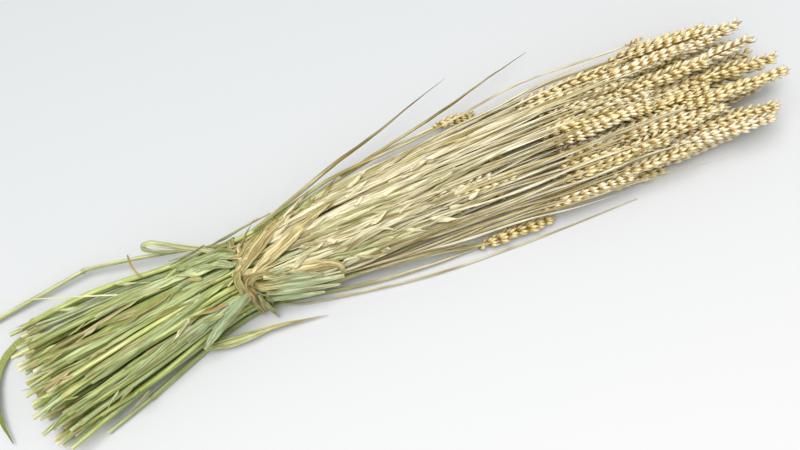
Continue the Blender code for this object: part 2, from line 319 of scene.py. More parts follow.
# %% Geometry tree
class Tree(Builder):
    """A geometry node tree with a named input for each size."""

    def __init__(self, name, inputs):
        self.group = bpy.data.node_groups.new(name, "GeometryNodeTree")
        face = self.group.interface
        face.new_socket("Geometry", in_out="INPUT", socket_type="NodeSocketGeometry")
        for label, kind in inputs.items():
            face.new_socket(label, in_out="INPUT", socket_type="NodeSocket" + kind)
        face.new_socket("Geometry", in_out="OUTPUT", socket_type="NodeSocketGeometry")
        self.start = self.group.nodes.new("NodeGroupInput")
        self.end = self.group.nodes.new("NodeGroupOutput")

    def given(self, label):
        return self.start.outputs[label]

    def attribute(self, name, kind="FLOAT"):
        return self.add("GeometryNodeInputNamedAttribute", {"Name": name}, "Attribute",
                        data_type=kind)

    def store(self, geometry, name, value, kind="FLOAT", domain="POINT"):
        return self.add("GeometryNodeStoreNamedAttribute",
                        {"Geometry": geometry, "Name": name, "Value": value},
                        data_type=kind, domain=domain)

    def finish(self, geometry):
        self.group.links.new(geometry, self.end.inputs[0])


def grow(piece, tree, sizes):
    """Runs the tree on the piece's mesh and keeps the result as a plain mesh."""
    modifier = piece.modifiers.new(tree.group.name, "NODES")
    modifier.node_group = tree.group
    for item in tree.group.interface.items_tree:
        if item.in_out == "INPUT" and item.name in sizes:
            modifier[item.identifier] = sizes[item.name]
    bpy.context.view_layer.update()
    graph = bpy.context.evaluated_depsgraph_get()
    mesh = bpy.data.meshes.new_from_object(
        piece.evaluated_get(graph), preserve_all_data_layers=True, depsgraph=graph)
    piece.modifiers.clear()
    piece.data = mesh
    mesh.name = piece.name
    return piece


print("a tree adds:", ", ".join(name for name in vars(Tree) if name[0] != "_"))

# %% [markdown]
# ## Courses for stems and blades
# Every stem, sheath, blade and ear follows a course: a row of points, each with a half width, the
# direction its width lies in, and colour values from 0 to 1.

# %% A course
VALUES = ("thick", "green", "tone", "hue", "joint", "bleach", "part", "size")


def direction(points, index):
    ahead = points[min(index + 1, len(points) - 1)] - points[max(index - 1, 0)]
    return ahead.normalized()


class Course:
    """Points with half widths, facings and colour values. A single number holds for all points."""

    def __init__(self, points, thick, facing=(0, 0, 1), **values):
        self.points = [Vector(p) for p in points]
        count = len(self.points)
        self.values = {"thick": thick, **values}
        for name in VALUES:
            value = self.values.get(name, 0.0)
            self.values[name] = list(value) if hasattr(value, "__len__") else [value] * count
        facings = facing if hasattr(facing[0], "__len__") else [facing] * count
        self.across = [direction(self.points, i).cross(Vector(f)).normalized()
                       for i, f in enumerate(facings)]


print("values at each point:", ", ".join(VALUES))

# %% [markdown]
# ## A piece from its courses
# A piece starts as a mesh of edges, one line of them for each course. The values become the mesh's
# attributes, where the trees and the finishes read them.

# %% A piece from courses
def piece_of(name, courses_in):
    """An object whose mesh holds the courses as lines of edges."""
    points, edges, across = [], [], []
    values = {key: [] for key in VALUES}
    for course in courses_in:
        first = len(points)
        points += [p + SHIFT for p in course.points]
        edges += [(first + i, first + i + 1) for i in range(len(course.points) - 1)]
        across += course.across
        for key in VALUES:
            values[key] += course.values[key]
    mesh = bpy.data.meshes.new(name)
    mesh.from_pydata(points, edges, [])
    for key in VALUES:
        layer = mesh.attributes.new(key, "FLOAT", "POINT")
        layer.data.foreach_set("value", values[key])
    layer = mesh.attributes.new("across", "FLOAT_VECTOR", "POINT")
    layer.data.foreach_set("vector", [c for a in across for c in a])
    piece = bpy.data.objects.new(name, mesh)
    bpy.context.scene.collection.objects.link(piece)
    return piece


print("attributes of a piece:", len(VALUES) + 1)

# %% [markdown]
# ## Smooth lines
# A few control points are enough for a leaf. A Catmull-Rom curve goes through all of them, and is
# easy to work out.

# %% Smooth lines
def smooth(controls, count):
    """A smooth course of count points through a few control points."""
    points = [Vector(c) for c in controls]
    padded = [2 * points[0] - points[1]] + points + [2 * points[-1] - points[-2]]
    course = []
    for k in range(count):
        t = k / (count - 1) * (len(points) - 1)
        i = min(int(t), len(points) - 2)
        u = t - i
        a, b, c, d = padded[i:i + 4]
        course.append(0.5 * (2 * b + (c - a) * u + (2 * a - 5 * b + 4 * c - d) * u * u
                             + (3 * b - a - 3 * c + d) * u ** 3))
    return course


def step_up(x, low, high):
    """0 below low, 1 above high, and smooth between."""
    t = min(max((x - low) / (high - low), 0.0), 1.0)
    return t * t * (3 - 2 * t)


print("halfway up a smooth step:", step_up(0.5, 0.0, 1.0))

# %% [markdown]
# ## Building a finish
# A finish is a material, and its tree is built with the same helper. Streaks are noise that is
# stretched along the grain attribute, which holds a point's place across the section and along the
# course, so that ribs follow each bend.

# %% Finish builder
class Finish(Builder):
    """A material and its node tree, built from named parts."""

    def __init__(self, name):
        self.material = bpy.data.materials.new(name)
        self.material.use_nodes = True
        self.group = self.material.node_tree
        self.shader = self.group.nodes["Principled BSDF"]

    def attribute(self, name, out="Fac"):
        return self.add("ShaderNodeAttribute", out=out, attribute_name=name)

    def mix(self, share, low, high):
        """Colour low where share is 0, and high where it is 1."""
        return self.add("ShaderNodeMix", {0: share, 6: low, 7: high}, 2, data_type="RGBA")

    def spread(self, value, low, high):
        """The part of value between low and high, stretched over 0 to 1."""
        return self.add("ShaderNodeMapRange", {"Value": value, "From Min": low, "From Max": high})

    def centred(self, value, amount):
        """Noise about 0, of this amount."""
        return self.times(self.maths("SUBTRACT", value, 0.5), amount)

    def streaks(self, scale, length, detail=3.0):
        """Noise that is fine across the grain and long along it, from 0 to 1."""
        place = self.vectors("MULTIPLY", self.attribute("grain", "Vector"), (1.0, 1.0, length))
        return self.add("ShaderNodeTexNoise", {
            "Vector": place, "Scale": scale, "Detail": detail, "Roughness": 0.6})

    def blotches(self, scale, detail):
        return self.add("ShaderNodeTexNoise", {
            "Vector": self.add("ShaderNodeTexCoord", out="Object"),
            "Scale": scale, "Detail": detail})

    def ribs(self, veins, fine, strength, depth, rough):
        """Bump from the streaks, with a roughness between them and another on them."""
        gloss = self.add("ShaderNodeMapRange", {
            "Value": veins, "To Min": rough[0], "To Max": rough[1]})
        bump = self.add("ShaderNodeBump", {
            "Height": fine, "Strength": strength, "Distance": depth}, "Normal")
        self.group.links.new(gloss, self.shader.inputs["Roughness"])
        self.group.links.new(bump, self.shader.inputs["Normal"])
        self.shader.inputs["Sheen Weight"].default_value = 0.02

    def surface(self, colour, shine):
        self.group.links.new(colour, self.shader.inputs["Base Color"])
        self.shader.inputs["Specular IOR Level"].default_value = shine
        return self.material


print("a finish adds:", ", ".join(name for name in vars(Finish) if name[0] != "_"))

# %% [markdown]
# ## Straw and leaf
# Dry straw is pale and slightly glossy, with fine lengthwise ribs. Leaf is more matt, with veins
# and brown flecks. Both come from one recipe: a green and a dry colour mixed by the piece's own
# attribute, dark grooves between the ribs, brown at the joints, and a bleached cut end.

# %% Straw and leaf recipe
GROOVE = (0.15, 0.102, 0.014, 1)
BLEACHED = (0.88, 0.80, 0.56, 1)


def plant_finish(name, dry, yellow, blue, spot, rough, ribs, grain, groove_share):
    """dry, yellow and blue are each a pale and a deep colour. spot is for joints and flecks."""
    finish = Finish(name)
    fine = finish.streaks(grain, 0.035)
    broad = finish.spread(finish.streaks(190.0, 0.14), 0.38, 0.62)
    blotch = finish.blotches(70.0, 5.0)
    shade = finish.maths("ADD", finish.times(finish.attribute("tone"), 0.55),
                         finish.times(broad, 0.45))
    colour = finish.mix(shade, *dry)
    green = finish.mix(finish.attribute("hue"),
                       finish.mix(shade, *yellow), finish.mix(shade, *blue))
    wet = finish.maths("ADD", finish.attribute("green"), finish.centred(blotch, 0.6))
    colour = finish.mix(finish.spread(wet, 0.08, 0.80), colour, green)
    veins = finish.spread(fine, 0.40, 0.57)
    grooves = finish.times(finish.maths("SUBTRACT", 1.0, veins), groove_share)
    colour = finish.mix(grooves, colour, GROOVE)
    browned = finish.maths("ADD", finish.attribute("joint"),
                           finish.times(finish.spread(blotch, 0.58, 0.75), 0.5))
    browned = finish.times(browned, finish.maths("MULTIPLY_ADD", veins, -0.35, 1.15))
    colour = finish.mix(finish.spread(browned, 0.15, 1.1), colour, spot)
    colour = finish.mix(finish.attribute("bleach"), colour, BLEACHED)
    finish.ribs(veins, fine, ribs, 0.0006, (rough + 0.16, rough - 0.06))
    return finish.surface(colour, 0.45)


print("groove colour:", GROOVE[:3])

# %% [markdown]
# ## Three plant finishes
# Straw has the finest ribs and the least groove. The blades at the tie are darker than the rest,
# so they have their own colours.

# %% Plant finishes
STRAW = plant_finish(
    "dry_straw", dry=((1.00, 0.975, 0.765, 1), (0.42, 0.305, 0.065, 1)),
    yellow=((0.80, 0.86, 0.29, 1), (0.30, 0.39, 0.05, 1)),
    blue=((0.62, 0.75, 0.40, 1), (0.14, 0.24, 0.06, 1)), spot=(0.38, 0.22, 0.05, 1),
    rough=0.28, ribs=0.5, grain=900.0, groove_share=0.52)
LEAF = plant_finish(
    "dry_blade", dry=((1.00, 0.95, 0.66, 1), (0.30, 0.225, 0.05, 1)),
    yellow=((0.66, 0.75, 0.27, 1), (0.23, 0.31, 0.05, 1)),
    blue=((0.56, 0.70, 0.41, 1), (0.12, 0.21, 0.07, 1)), spot=(0.38, 0.24, 0.06, 1),
    rough=0.42, ribs=0.7, grain=620.0, groove_share=0.66)
TIE_LEAF = plant_finish(
    "tied_blade", dry=((0.94, 0.82, 0.43, 1), (0.26, 0.18, 0.035, 1)),
    yellow=((0.56, 0.62, 0.24, 1), (0.19, 0.25, 0.05, 1)),
    blue=((0.48, 0.60, 0.35, 1), (0.12, 0.19, 0.06, 1)), spot=(0.20, 0.12, 0.025, 1),
    rough=0.42, ribs=0.8, grain=620.0, groove_share=0.78)
print("finishes:", STRAW.name, LEAF.name, TIE_LEAF.name)

# %% [markdown]
# ## Husks
# A husk is painted darkest and most golden where it tucks under the one below, as painted shade,
# and pale at its thin upper edge, which is partly its own bleached edge and partly a painted
# highlight. The husk attribute runs from 0 at the base of each bract to 1 at its point. The ear's
# own tone takes it from pale to old gold.

# %% Husk finish
def husk_finish():
    finish = Finish("husk")
    height = finish.attribute("husk")
    tone = finish.attribute("tone")
    fine = finish.streaks(1500.0, 0.12, 2.0)
    # painted light: dark gold at each bract's tucked base is painted shade, and its pale upper part
    # is partly a painted highlight
    painted_light = finish.maths("ADD", height, finish.centred(finish.blotches(260.0, 3.0), 0.9))
    gold = finish.mix(tone, (0.58, 0.34, 0.045, 1), (0.33, 0.18, 0.02, 1))
    pale = finish.mix(tone, (1.00, 0.97, 0.76, 1), (0.95, 0.82, 0.40, 1))
    colour = finish.mix(finish.spread(painted_light, 0.15, 0.60), gold, pale)
    point = finish.times(finish.spread(height, 0.90, 1.0), 0.55)
    colour = finish.mix(point, colour, (0.42, 0.26, 0.09, 1))
    veins = finish.spread(fine, 0.35, 0.65)
    grooves = finish.times(finish.maths("SUBTRACT", 1.0, veins), 0.25)
    colour = finish.mix(grooves, colour, (0.34, 0.19, 0.04, 1))
    finish.ribs(veins, fine, 0.4, 0.0003, (0.36, 0.19))
    return finish.surface(colour, 0.70)


HUSK = husk_finish()
print("husk finish:", HUSK.name)

# %% [markdown]
# ## Spikelets
# An ear of beardless wheat is two rows of spikelets on a zigzag stem. Each spikelet is a small fan
# of plump bracts: two short glumes outside, two longer ones within, and one in the middle that
# leans furthest out. A bract is a boat-shaped shell with a keel and a short point. Four spikelets
# that differ a little are enough, because each copy is also turned and scaled in the ear.

# %% Spikelet shapes
MM = 0.001
RING_AT = (0.0, 0.30, 0.70)      # where the rings of a bract stand, as shares of its length
RING_WIDE = (0.50, 1.0, 0.80)    # and how wide they are
CORNERS = 5
BRACTS = (
    # length, width, thickness, fan, lean, outwards, aside, up, point
    (8.4, 4.2, 1.9, 20, 12, 0.9, 1.9, 0.0, 0.5),
    (8.4, 4.2, 1.9, -20, 12, 0.9, -1.9, 0.0, 0.5),
    (9.6, 4.1, 2.5, 12, 21, 1.8, 1.4, 1.3, 1.2),
    (9.6, 4.1, 2.5, -12, 21, 1.8, -1.4, 1.3, 1.2),
    (8.8, 3.6, 2.3, 0, 29, 2.4, 0.0, 3.0, 0.9),
)


def spikelet(name, dice):
    points, faces, husk, grain = [], [], [], []
    for length, width, thick, fan, lean, out, aside, up, point in BRACTS:
        grow_by = dice.uniform(0.90, 1.10)
        turn = (Matrix.Rotation(math.radians(lean + dice.uniform(-5, 5)), 3, "Y")
                @ Matrix.Rotation(math.radians(-fan + dice.uniform(-5, 5)), 3, "X"))
        foot = Vector((out, aside, up))
        first = len(points)
        seed = dice.uniform(0, 50)
        for at, wide in zip(RING_AT, RING_WIDE):
            for corner in range(CORNERS):
                angle = corner * 2 * math.pi / CORNERS
                keel = 1.35 if corner == 0 else 1.0
                place = Vector((math.cos(angle) * thick / 2 * wide * keel - 0.5 * at * at,
                                math.sin(angle) * width / 2 * wide, length * at * grow_by))
                points.append((foot + turn @ place) * MM)
                husk.append(at)
                grain.append((place.x + seed, place.y, place.z))
        tip = Vector((-0.4, 0, length * grow_by + point * dice.uniform(0.5, 1.5)))
        points.append((foot + turn @ tip) * MM)
        husk.append(1.0)
        grain.append((seed, 0, tip.z))
        top = len(points) - 1
        for ring in range(len(RING_AT)):
            for corner in range(CORNERS):
                a, b = (first + ring * CORNERS + c for c in (corner, (corner + 1) % CORNERS))
                above = (top,) if ring == len(RING_AT) - 1 else (b + CORNERS, a + CORNERS)
                faces.append((a, b, *above))
        faces.append(tuple(first + c for c in reversed(range(CORNERS))))
    mesh = bpy.data.meshes.new(name)
    mesh.from_pydata(points, [], faces)
    layer = mesh.attributes.new("husk", "FLOAT", "POINT")
    layer.data.foreach_set("value", husk)
    layer = mesh.attributes.new("grain", "FLOAT_VECTOR", "POINT")
    layer.data.foreach_set("vector", [c * MM for g in grain for c in g])
    mesh.shade_smooth()
    return bpy.data.objects.new(name, mesh)


shape_dice = random.Random(12)
spikelet_shapes = bpy.data.collections.new("spikelet_shapes")
for number in range(4):
    spikelet_shapes.objects.link(spikelet(f"spikelet_{number}", shape_dice))
bpy.context.scene.collection.children.link(spikelet_shapes)

# %% [markdown]
# ## Sweeping a ring along a course
# A stem and a blade are both a closed ring swept along a course. The ring is stored before the
# sweep, so that each point still knows its place in the section, and that place, made as wide as
# the course, is the grain for the finishes.

# %% Sweep
def facing_curve(tree, lines):
    """A curve along lines of edges, turned the way that their points say."""
    curve = tree.add("GeometryNodeMeshToCurve", {"Mesh": lines})
    return tree.add("GeometryNodeSetCurveNormal", {
        "Curve": curve, "Normal": tree.attribute("across", "FLOAT_VECTOR")}, mode="FREE")


def sweep(tree, lines, profile):
    """Turns lines of edges into tubes with the widths and facings that their points carry."""
    curve = tree.store(facing_curve(tree, lines), "along",
                       tree.add("GeometryNodeSplineParameter", out="Length"))
    wide = tree.attribute("thick")
    body = tree.add("GeometryNodeCurveToMesh", {
        "Curve": curve, "Profile Curve": profile, "Scale": wide, "Fill Caps": True})
    ring_x, ring_y = (tree.add("ShaderNodeSeparateXYZ",
                               {0: tree.attribute("ring", "FLOAT_VECTOR")}, axis) for axis in "XY")
    grain = tree.add("ShaderNodeCombineXYZ", {
        0: tree.maths("MULTIPLY_ADD", ring_x, wide, tree.attribute("tone")),
        1: tree.times(ring_y, wide), 2: tree.attribute("along")})
    return tree.store(body, "grain", grain, "FLOAT_VECTOR")


def marked_ring(tree, sides):
    ring = tree.add("GeometryNodeCurvePrimitiveCircle", {"Resolution": sides, "Radius": 1.0})
    return tree.store(ring, "ring", tree.add("GeometryNodeInputPosition"), "FLOAT_VECTOR")


print("attributes that a sweep adds:", ", ".join(("ring", "along", "grain")))

# %% [markdown]
# ## Hollow ends
# A cut straw shows its hollow. The cap of each tube has more corners than any face of its side, so
# it can be found by counting them. It is copied in place and drawn in, which leaves the wall, and
# then pushed down the tube.

# %% Hollow ends
SIDE_CORNERS = 4.5      # a side face has four corners and a cap has more
FLOOR_SHARE = 0.9       # how wide the bottom of the hollow is beside its mouth


def hollow_ends(tree, tubes):
    is_cap = tree.maths("GREATER_THAN", tree.add("GeometryNodeCornersOfFace", out="Total"),
                        SIDE_CORNERS)
    downwards = tree.times(tree.given("Hollow"), -1.0)
    for move, scale in ((0.0, tree.given("Wall")), (downwards, FLOOR_SHARE)):
        chosen = is_cap if move == 0.0 else tree.attribute("lid", "BOOLEAN")
        pushed = tree.node("GeometryNodeExtrudeMesh", {
            "Mesh": tubes, "Selection": chosen, "Offset Scale": move}, mode="FACES")
        tubes = tree.store(pushed.outputs["Mesh"], "lid", pushed.outputs["Top"], "BOOLEAN", "FACE")
        tubes = tree.add("GeometryNodeScaleElements", {
            "Geometry": tubes, "Selection": tree.attribute("lid", "BOOLEAN"), "Scale": scale})
    return tubes


print("a cap has at least", math.ceil(SIDE_CORNERS), "corners")

# %% [markdown]
# ## Ears
# Points are set out along the middle of the ear, and a spikelet is put on each, turned half round
# from the last, so that they fall in two rows. A small random turn and scale keep the rows from
# looking machined. The copies are made real, because an export drops instances.

# %% Ears along a course
def ears_along(tree, lines):
    spots = tree.node("GeometryNodeCurveToPoints", {
        "Curve": facing_curve(tree, lines), "Count": tree.given("Spikelets")}, mode="COUNT")

    def chance(low, high, kind):
        return tree.add("FunctionNodeRandomValue", {
            "Min": low, "Max": high, "Seed": tree.given("Seed")}, "Value", data_type=kind)

    index = tree.add("GeometryNodeInputIndex")
    half_turn = tree.times(tree.maths("MODULO", index, 2.0), math.pi)
    turned = tree.vectors("ADD", chance((-0.10, -0.10, -0.16), (0.10, 0.10, 0.16), "FLOAT_VECTOR"),
                          tree.add("ShaderNodeCombineXYZ", {2: half_turn}))
    turn = tree.add("FunctionNodeRotateRotation", {
        "Rotation": spots.outputs["Rotation"],
        "Rotate By": tree.add("FunctionNodeEulerToRotation", {0: turned})}, rotation_space="LOCAL")
    shapes = tree.add("GeometryNodeCollectionInfo", {
        "Collection": tree.given("Spikelet Shapes"), "Separate Children": True,
        "Reset Children": True})
    last_shape = len(spikelet_shapes.objects) - 1
    ears = tree.add("GeometryNodeInstanceOnPoints", {
        "Points": spots.outputs["Points"], "Instance": shapes, "Pick Instance": True,
        "Instance Index": chance(0, last_shape, "INT"), "Rotation": turn,
        "Scale": tree.times(chance(0.92, 1.06, "FLOAT"), tree.attribute("size"))})
    return tree.add("GeometryNodeRealizeInstances", {"Geometry": ears})


# %% [markdown]
# ## The tree that grows a stalk
# The courses come in as edges. Those marked part 0 become hollow tubes, and those marked part 1
# are the middles of ears. The two are finished apart and joined.

# %% Stalk tree
def stalk_tree():
    tree = Tree("wheat_stalk", {
        "Sides": "Int", "Flatness": "Float", "Hollow": "Float", "Wall": "Float",
        "Spikelets": "Int", "Seed": "Int", "Spikelet Shapes": "Collection",
        "Straw": "Material", "Husk": "Material"})
    is_ear = tree.maths("GREATER_THAN", tree.attribute("part"), 0.5)
    parted = tree.node("GeometryNodeSeparateGeometry", {
        "Geometry": tree.given("Geometry"), "Selection": is_ear})
    flat = tree.add("ShaderNodeCombineXYZ", {0: 1.0, 1: tree.given("Flatness"), 2: 1.0})
    ring = tree.add("GeometryNodeTransform", {
        "Geometry": marked_ring(tree, tree.given("Sides")), "Scale": flat})
    tubes = hollow_ends(tree, sweep(tree, parted.outputs["Inverted"], ring))
    tubes = tree.add("GeometryNodeSetShadeSmooth", {"Geometry": tubes})
    tubes = tree.add("GeometryNodeSetMaterial", {
        "Geometry": tubes, "Material": tree.given("Straw")})
    ears = tree.add("GeometryNodeSetMaterial", {
        "Geometry": ears_along(tree, parted.outputs["Selection"]),
        "Material": tree.given("Husk")})
    both = tree.node("GeometryNodeJoinGeometry", {0: tubes})
    tree.group.links.new(ears, both.inputs[0])
    tree.finish(tree.add("GeometryNodeRealizeInstances", {"Geometry": both.outputs[0]}))
    return tree


STALK_TREE = stalk_tree()
print("nodes in the stalk tree:", len(STALK_TREE.group.nodes))

# %% [markdown]
# ## Pieces for the frame
# A finished piece rides on the model's one body and may stand in for plain solids. A stem piece
# is grown by the stalk tree. One without an ear has no course that is marked as one, so its count
# of spikelets does nothing.

# %% Stem pieces
def stage_piece(piece, nodes):
    """Hands a finished piece to the frame."""
    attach(piece, "root")
    if nodes:
        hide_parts(*nodes)
    return piece


def stem_piece(name, courses_in, nodes, hollow, flatness=0.75, wall=0.7, spikelets=2, seed=1):
    piece = grow(piece_of(name, courses_in), STALK_TREE, {
        "Sides": 8, "Flatness": flatness, "Hollow": hollow, "Wall": wall,
        "Spikelets": spikelets, "Seed": seed,
        "Spikelet Shapes": spikelet_shapes, "Straw": STRAW, "Husk": HUSK})
    return stage_piece(piece, nodes)


# %% [markdown]
# ## What makes each stalk its own
# Straw dries unevenly: it is mostly either pale or weathered, seldom between. Each stalk also sways
# a little on its way, except at the tie, where the others hold it.

# %% Sway and tone
FLOOR_GAP = 0.0032      # the least height of a stalk's middle
# painted shade: stalks in these low rows are given a deeper colour
SHADED_ROWS = 5           # rows below this one are in the shade of the others


def swayed(stalk, x, sway):
    """The stalk's course with its own slow sway, which dies out at the tie."""
    point = stalk.centre(x)
    amount, pace, across_start, up_start = sway
    room = step_up(abs(x - TIE_X), 0.02, 0.12) * (1 - 0.6 * step_up(x, 0.10, 0.25))
    point.y += amount * room * math.sin(x * pace + across_start)
    point.z += abs(amount) * 0.35 * room * (1 + math.sin(x * pace * 0.8 + up_start))
    point.z = max(point.z, FLOOR_GAP)
    return point


def steps(start, end, gap):
    count = max(3, int((end - start) / gap) + 1)
    return [start + (end - start) * k / (count - 1) for k in range(count)]


def either_tone(dice):
    """Dry straw is mostly either pale or weathered, seldom between."""
    return dice.uniform(0.0, 0.3) if dice.random() < 0.55 else dice.uniform(0.75, 1.0)


def any_facing(dice):
    roll = dice.uniform(0, math.pi)
    return 0, math.sin(roll), math.cos(roll)


print("least height of a stalk's middle: %.1f mm" % (1000 * FLOOR_GAP))

# %% [markdown]
# ## Straw and sheaths
# The straw tapers from 4 mm at the cut end to 2 mm below the ear. Two sheaths wrap it, each from a
# swollen brown joint to a ragged end, so a stalk looks thick, then thin, then thick again. Green
# fades to straw near the tie, at a slightly different place on each stalk.

# %% Straw and sheaths
CUT_HALF = 0.0020       # half the width of the straw at the cut end
TAPER = 0.0010          # what it has lost below the ear
SHEATH_ADDS = (0.00050, 0.00038)
SHORTEST_SHEATH = 0.03


def straw_half(x):
    return CUT_HALF - TAPER * step_up(x, -0.24, 0.06)


def straw_courses(stalk, sway, tone, dice):
    fade = dice.uniform(-0.16, -0.06)
    lush = dice.uniform(0.50, 1.0)
    hue = dice.random()
    bared = dice.choice((0.35, 0.6, 0.9))
    stained = dice.choice((0.0, 0.0, 0.2, 0.7))
    facing = any_facing(dice)

    def green(x):
        return (lush * (1 - step_up(x, fade - 0.05, fade + 0.05))
                + 0.10 * (1 - step_up(x, 0.0, 0.12)))

    def course(xs, half, **look):
        return Course([swayed(stalk, x, sway) for x in xs], half, facing, **look)

    start = stalk.start
    xs = [start, start + 0.004] + steps(start + 0.010, stalk.base + 0.004, 0.014)
    made = [course(xs, [straw_half(x) for x in xs], green=[green(x) for x in xs], tone=tone,
                   hue=hue, joint=[stained] + [0.0] * (len(xs) - 1),
                   bleach=[bared * (1 - step_up(x, start + 0.001, start + 0.007)) for x in xs])]
    first = start + dice.uniform(0.006, 0.045)
    second = dice.uniform(-0.205, -0.100)
    sheaths = ((first, second + dice.uniform(-0.012, 0.01)),
               (second, min(second + dice.uniform(0.10, 0.21), stalk.base - 0.02)))
    for (low, high), extra in zip(sheaths, SHEATH_ADDS):
        if high - low < SHORTEST_SHEATH:
            continue
        xs = [low, low + 0.0025] + steps(low + 0.006, high, 0.015)
        half = [straw_half(x) + extra for x in xs]
        half[0] += 0.0001
        half[1] += 0.0004
        half[-1] *= 0.86
        # sheaths in the low rows get a deeper tone, as painted shade
        made.append(course(xs, half, joint=[0.3, 0.5, 0.1] + [0.0] * (len(xs) - 3),
                           green=[green(x - 0.02) + 0.08 for x in xs], hue=dice.random(),
                           tone=max(either_tone(dice), 0.45 if stalk.row < SHADED_ROWS else 0.0)))
    return made


print("straw at the cut end and below the ear: %.1f and %.1f mm"
      % (2000 * straw_half(CUT_X), 2000 * straw_half(0.1)))

# %% [markdown]
# ## The ear's courses
# An ear is two courses on one line. One is its stem, which swells at the top to close the ear. The
# other carries the spikelets, with a size for each place: small at the foot, full in the middle
# and smaller at the tip.

# %% Ear courses
EAR_POINTS = 12
FULL_EAR = 0.075        # an ear shorter than this has smaller spikelets
SPIKELET_REACH = 0.0088
TOP_REACHES = (0.002, 0.004, 0.006, 0.009)
TOP_HALVES = (0.0013, 0.0021, 0.0020, 0.0012, 0.0003)


def ear_courses(stalk, sway, tone, dice):
    length = stalk.tip - stalk.base
    small = min(1.0, length / FULL_EAR) ** 0.5
    bend = Vector((0, dice.uniform(-0.09, 0.09) * length, dice.uniform(-0.02, 0.06) * length))
    shares = [k / (EAR_POINTS - 1) for k in range(EAR_POINTS)]
    size = [small * (0.66 + 0.36 * step_up(share, 0, 0.2) - 0.26 * step_up(share, 0.6, 1.0))
            for share in shares]
    middles = []
    for share, scale in zip(shares, size):
        point = swayed(stalk, stalk.base + share * (length - 0.006), sway)
        point += bend * share * share
        point.z = max(point.z, SPIKELET_REACH * scale * step_up(share, -0.35, 0.2))
        middles.append(point)
    facing = any_facing(dice)
    ahead = (middles[-1] - middles[-3]).normalized()
    top = [middles[-1] + ahead * (reach * small) for reach in TOP_REACHES]
    thick = [0.0009] * (EAR_POINTS - 1) + [half * small for half in TOP_HALVES]
    gold = dice.uniform(0, 1)
    return [Course(middles + top, thick, facing, tone=tone, joint=0.3),
            Course(middles, 0.001, facing, part=1.0, size=size,
                   tone=1.0 if stalk in strays else gold)]


print("points along an ear:", EAR_POINTS)

# %% [markdown]
# ## Growing the stalks
# Every stalk of a piece gives its courses, and one run of the tree grows them all. A spikelet
# takes up about 8 mm of an ear on each side, and less on the short ones.

# %% Grow the stalks
SPIKELET_PITCH = 0.0084
SHORT_EAR, SHORT_PITCH = 0.06, 0.0062
# the least tone of a stalk in the low rows: painted shade
PAINTED_SHADE_TONE = 0.35


def stalk_courses(stalk, dice):
    sway = (dice.choice((-1, 1)) * dice.uniform(0.0008, 0.0036), dice.uniform(18, 34),
            dice.uniform(0, 6), dice.uniform(0, 6))
    # the low rows get a deeper tone, as painted shade
    tone = max(either_tone(dice), PAINTED_SHADE_TONE if stalk.row < SHADED_ROWS else 0.0)
    return straw_courses(stalk, sway, tone, dice) + ear_courses(stalk, sway, tone, dice)


stalk_dice = random.Random(77)
faces_made = 0
for node, group in members.items():
    made = [course for stalk in group for course in stalk_courses(stalk, stalk_dice)]
    length = sum(stalk.tip - stalk.base for stalk in group) / len(group)
    pitch = SPIKELET_PITCH if length > SHORT_EAR else SHORT_PITCH
    piece = stem_piece(node + "_grown", made, [node], hollow=0.007, flatness=0.82,
                       wall=0.72, spikelets=2 * round(length / pitch),
                       seed=stalk_dice.randrange(1000))
    faces_made += len(piece.data.polygons)
print("faces in all the stalks:", faces_made)

# %% [markdown]
# ## The tree that grows a leaf blade
# A blade is a thin strip with a shallow fold along its middle. A flat ring, folded into a V, is
# swept along the course, and a slow noise crumples it, because dry leaf is never quite even.

# %% Blade tree
RING_POINTS = 26
PLEATS = 9.0            # how fast the pleats follow each other across a blade


def blade_tree():
    tree = Tree("leaf_blade", {
        "Fold": "Float", "Pleat": "Float", "Body": "Float", "Crumple": "Float", "Seed": "Float",
        "Leaf": "Material"})
    x, y = (tree.add("ShaderNodeSeparateXYZ",
                     {0: tree.add("GeometryNodeInputPosition")}, axis) for axis in "XY")
    lift = tree.times(tree.maths("ABSOLUTE", x), tree.given("Fold"))
    waves = tree.maths("SINE", tree.times(x, PLEATS))
    lift = tree.maths("MULTIPLY_ADD", waves, tree.given("Pleat"), lift)
    folded = tree.add("ShaderNodeCombineXYZ", {
        0: x, 1: tree.maths("MULTIPLY_ADD", y, tree.given("Body"), lift)})
    ring = tree.add("GeometryNodeSetPosition", {
        "Geometry": marked_ring(tree, RING_POINTS), "Position": folded})
    body = sweep(tree, tree.given("Geometry"), ring)
    noise = tree.add("ShaderNodeTexNoise", {
        "Vector": tree.add("GeometryNodeInputPosition"), "W": tree.given("Seed"),
        "Scale": 120.0, "Detail": 3.0}, "Color", noise_dimensions="4D")
    push = tree.add("ShaderNodeVectorMath", {
        0: tree.vectors("SUBTRACT", noise, (0.5, 0.5, 0.5)), "Scale": tree.given("Crumple")},
        operation="SCALE")
    body = tree.add("GeometryNodeSetPosition", {"Geometry": body, "Offset": push})
    body = tree.add("GeometryNodeSetShadeSmooth", {"Geometry": body})
    body = tree.add("GeometryNodeRealizeInstances", {"Geometry": body})
    tree.finish(tree.add("GeometryNodeSetMaterial", {
        "Geometry": body, "Material": tree.given("Leaf")}))
    return tree


BLADE_TREE = blade_tree()

print("nodes in the blade tree:", len(BLADE_TREE.group.nodes))

# %% [markdown]
# ## Making a blade
# A blade's course goes smoothly through control points. Widths and colour values are given at a
# few places, evenly spread along it, and the twist in degrees at its two ends.

# %% Blade maker
def blade_piece(name, courses_in, nodes, leaf, fold=0.28, crumple=0.0018, seed=0.0):
    piece = grow(piece_of(name, courses_in), BLADE_TREE, {
        "Fold": fold, "Pleat": 0.07, "Body": 0.05, "Crumple": crumple, "Seed": seed, "Leaf": leaf})
    return stage_piece(piece, nodes)


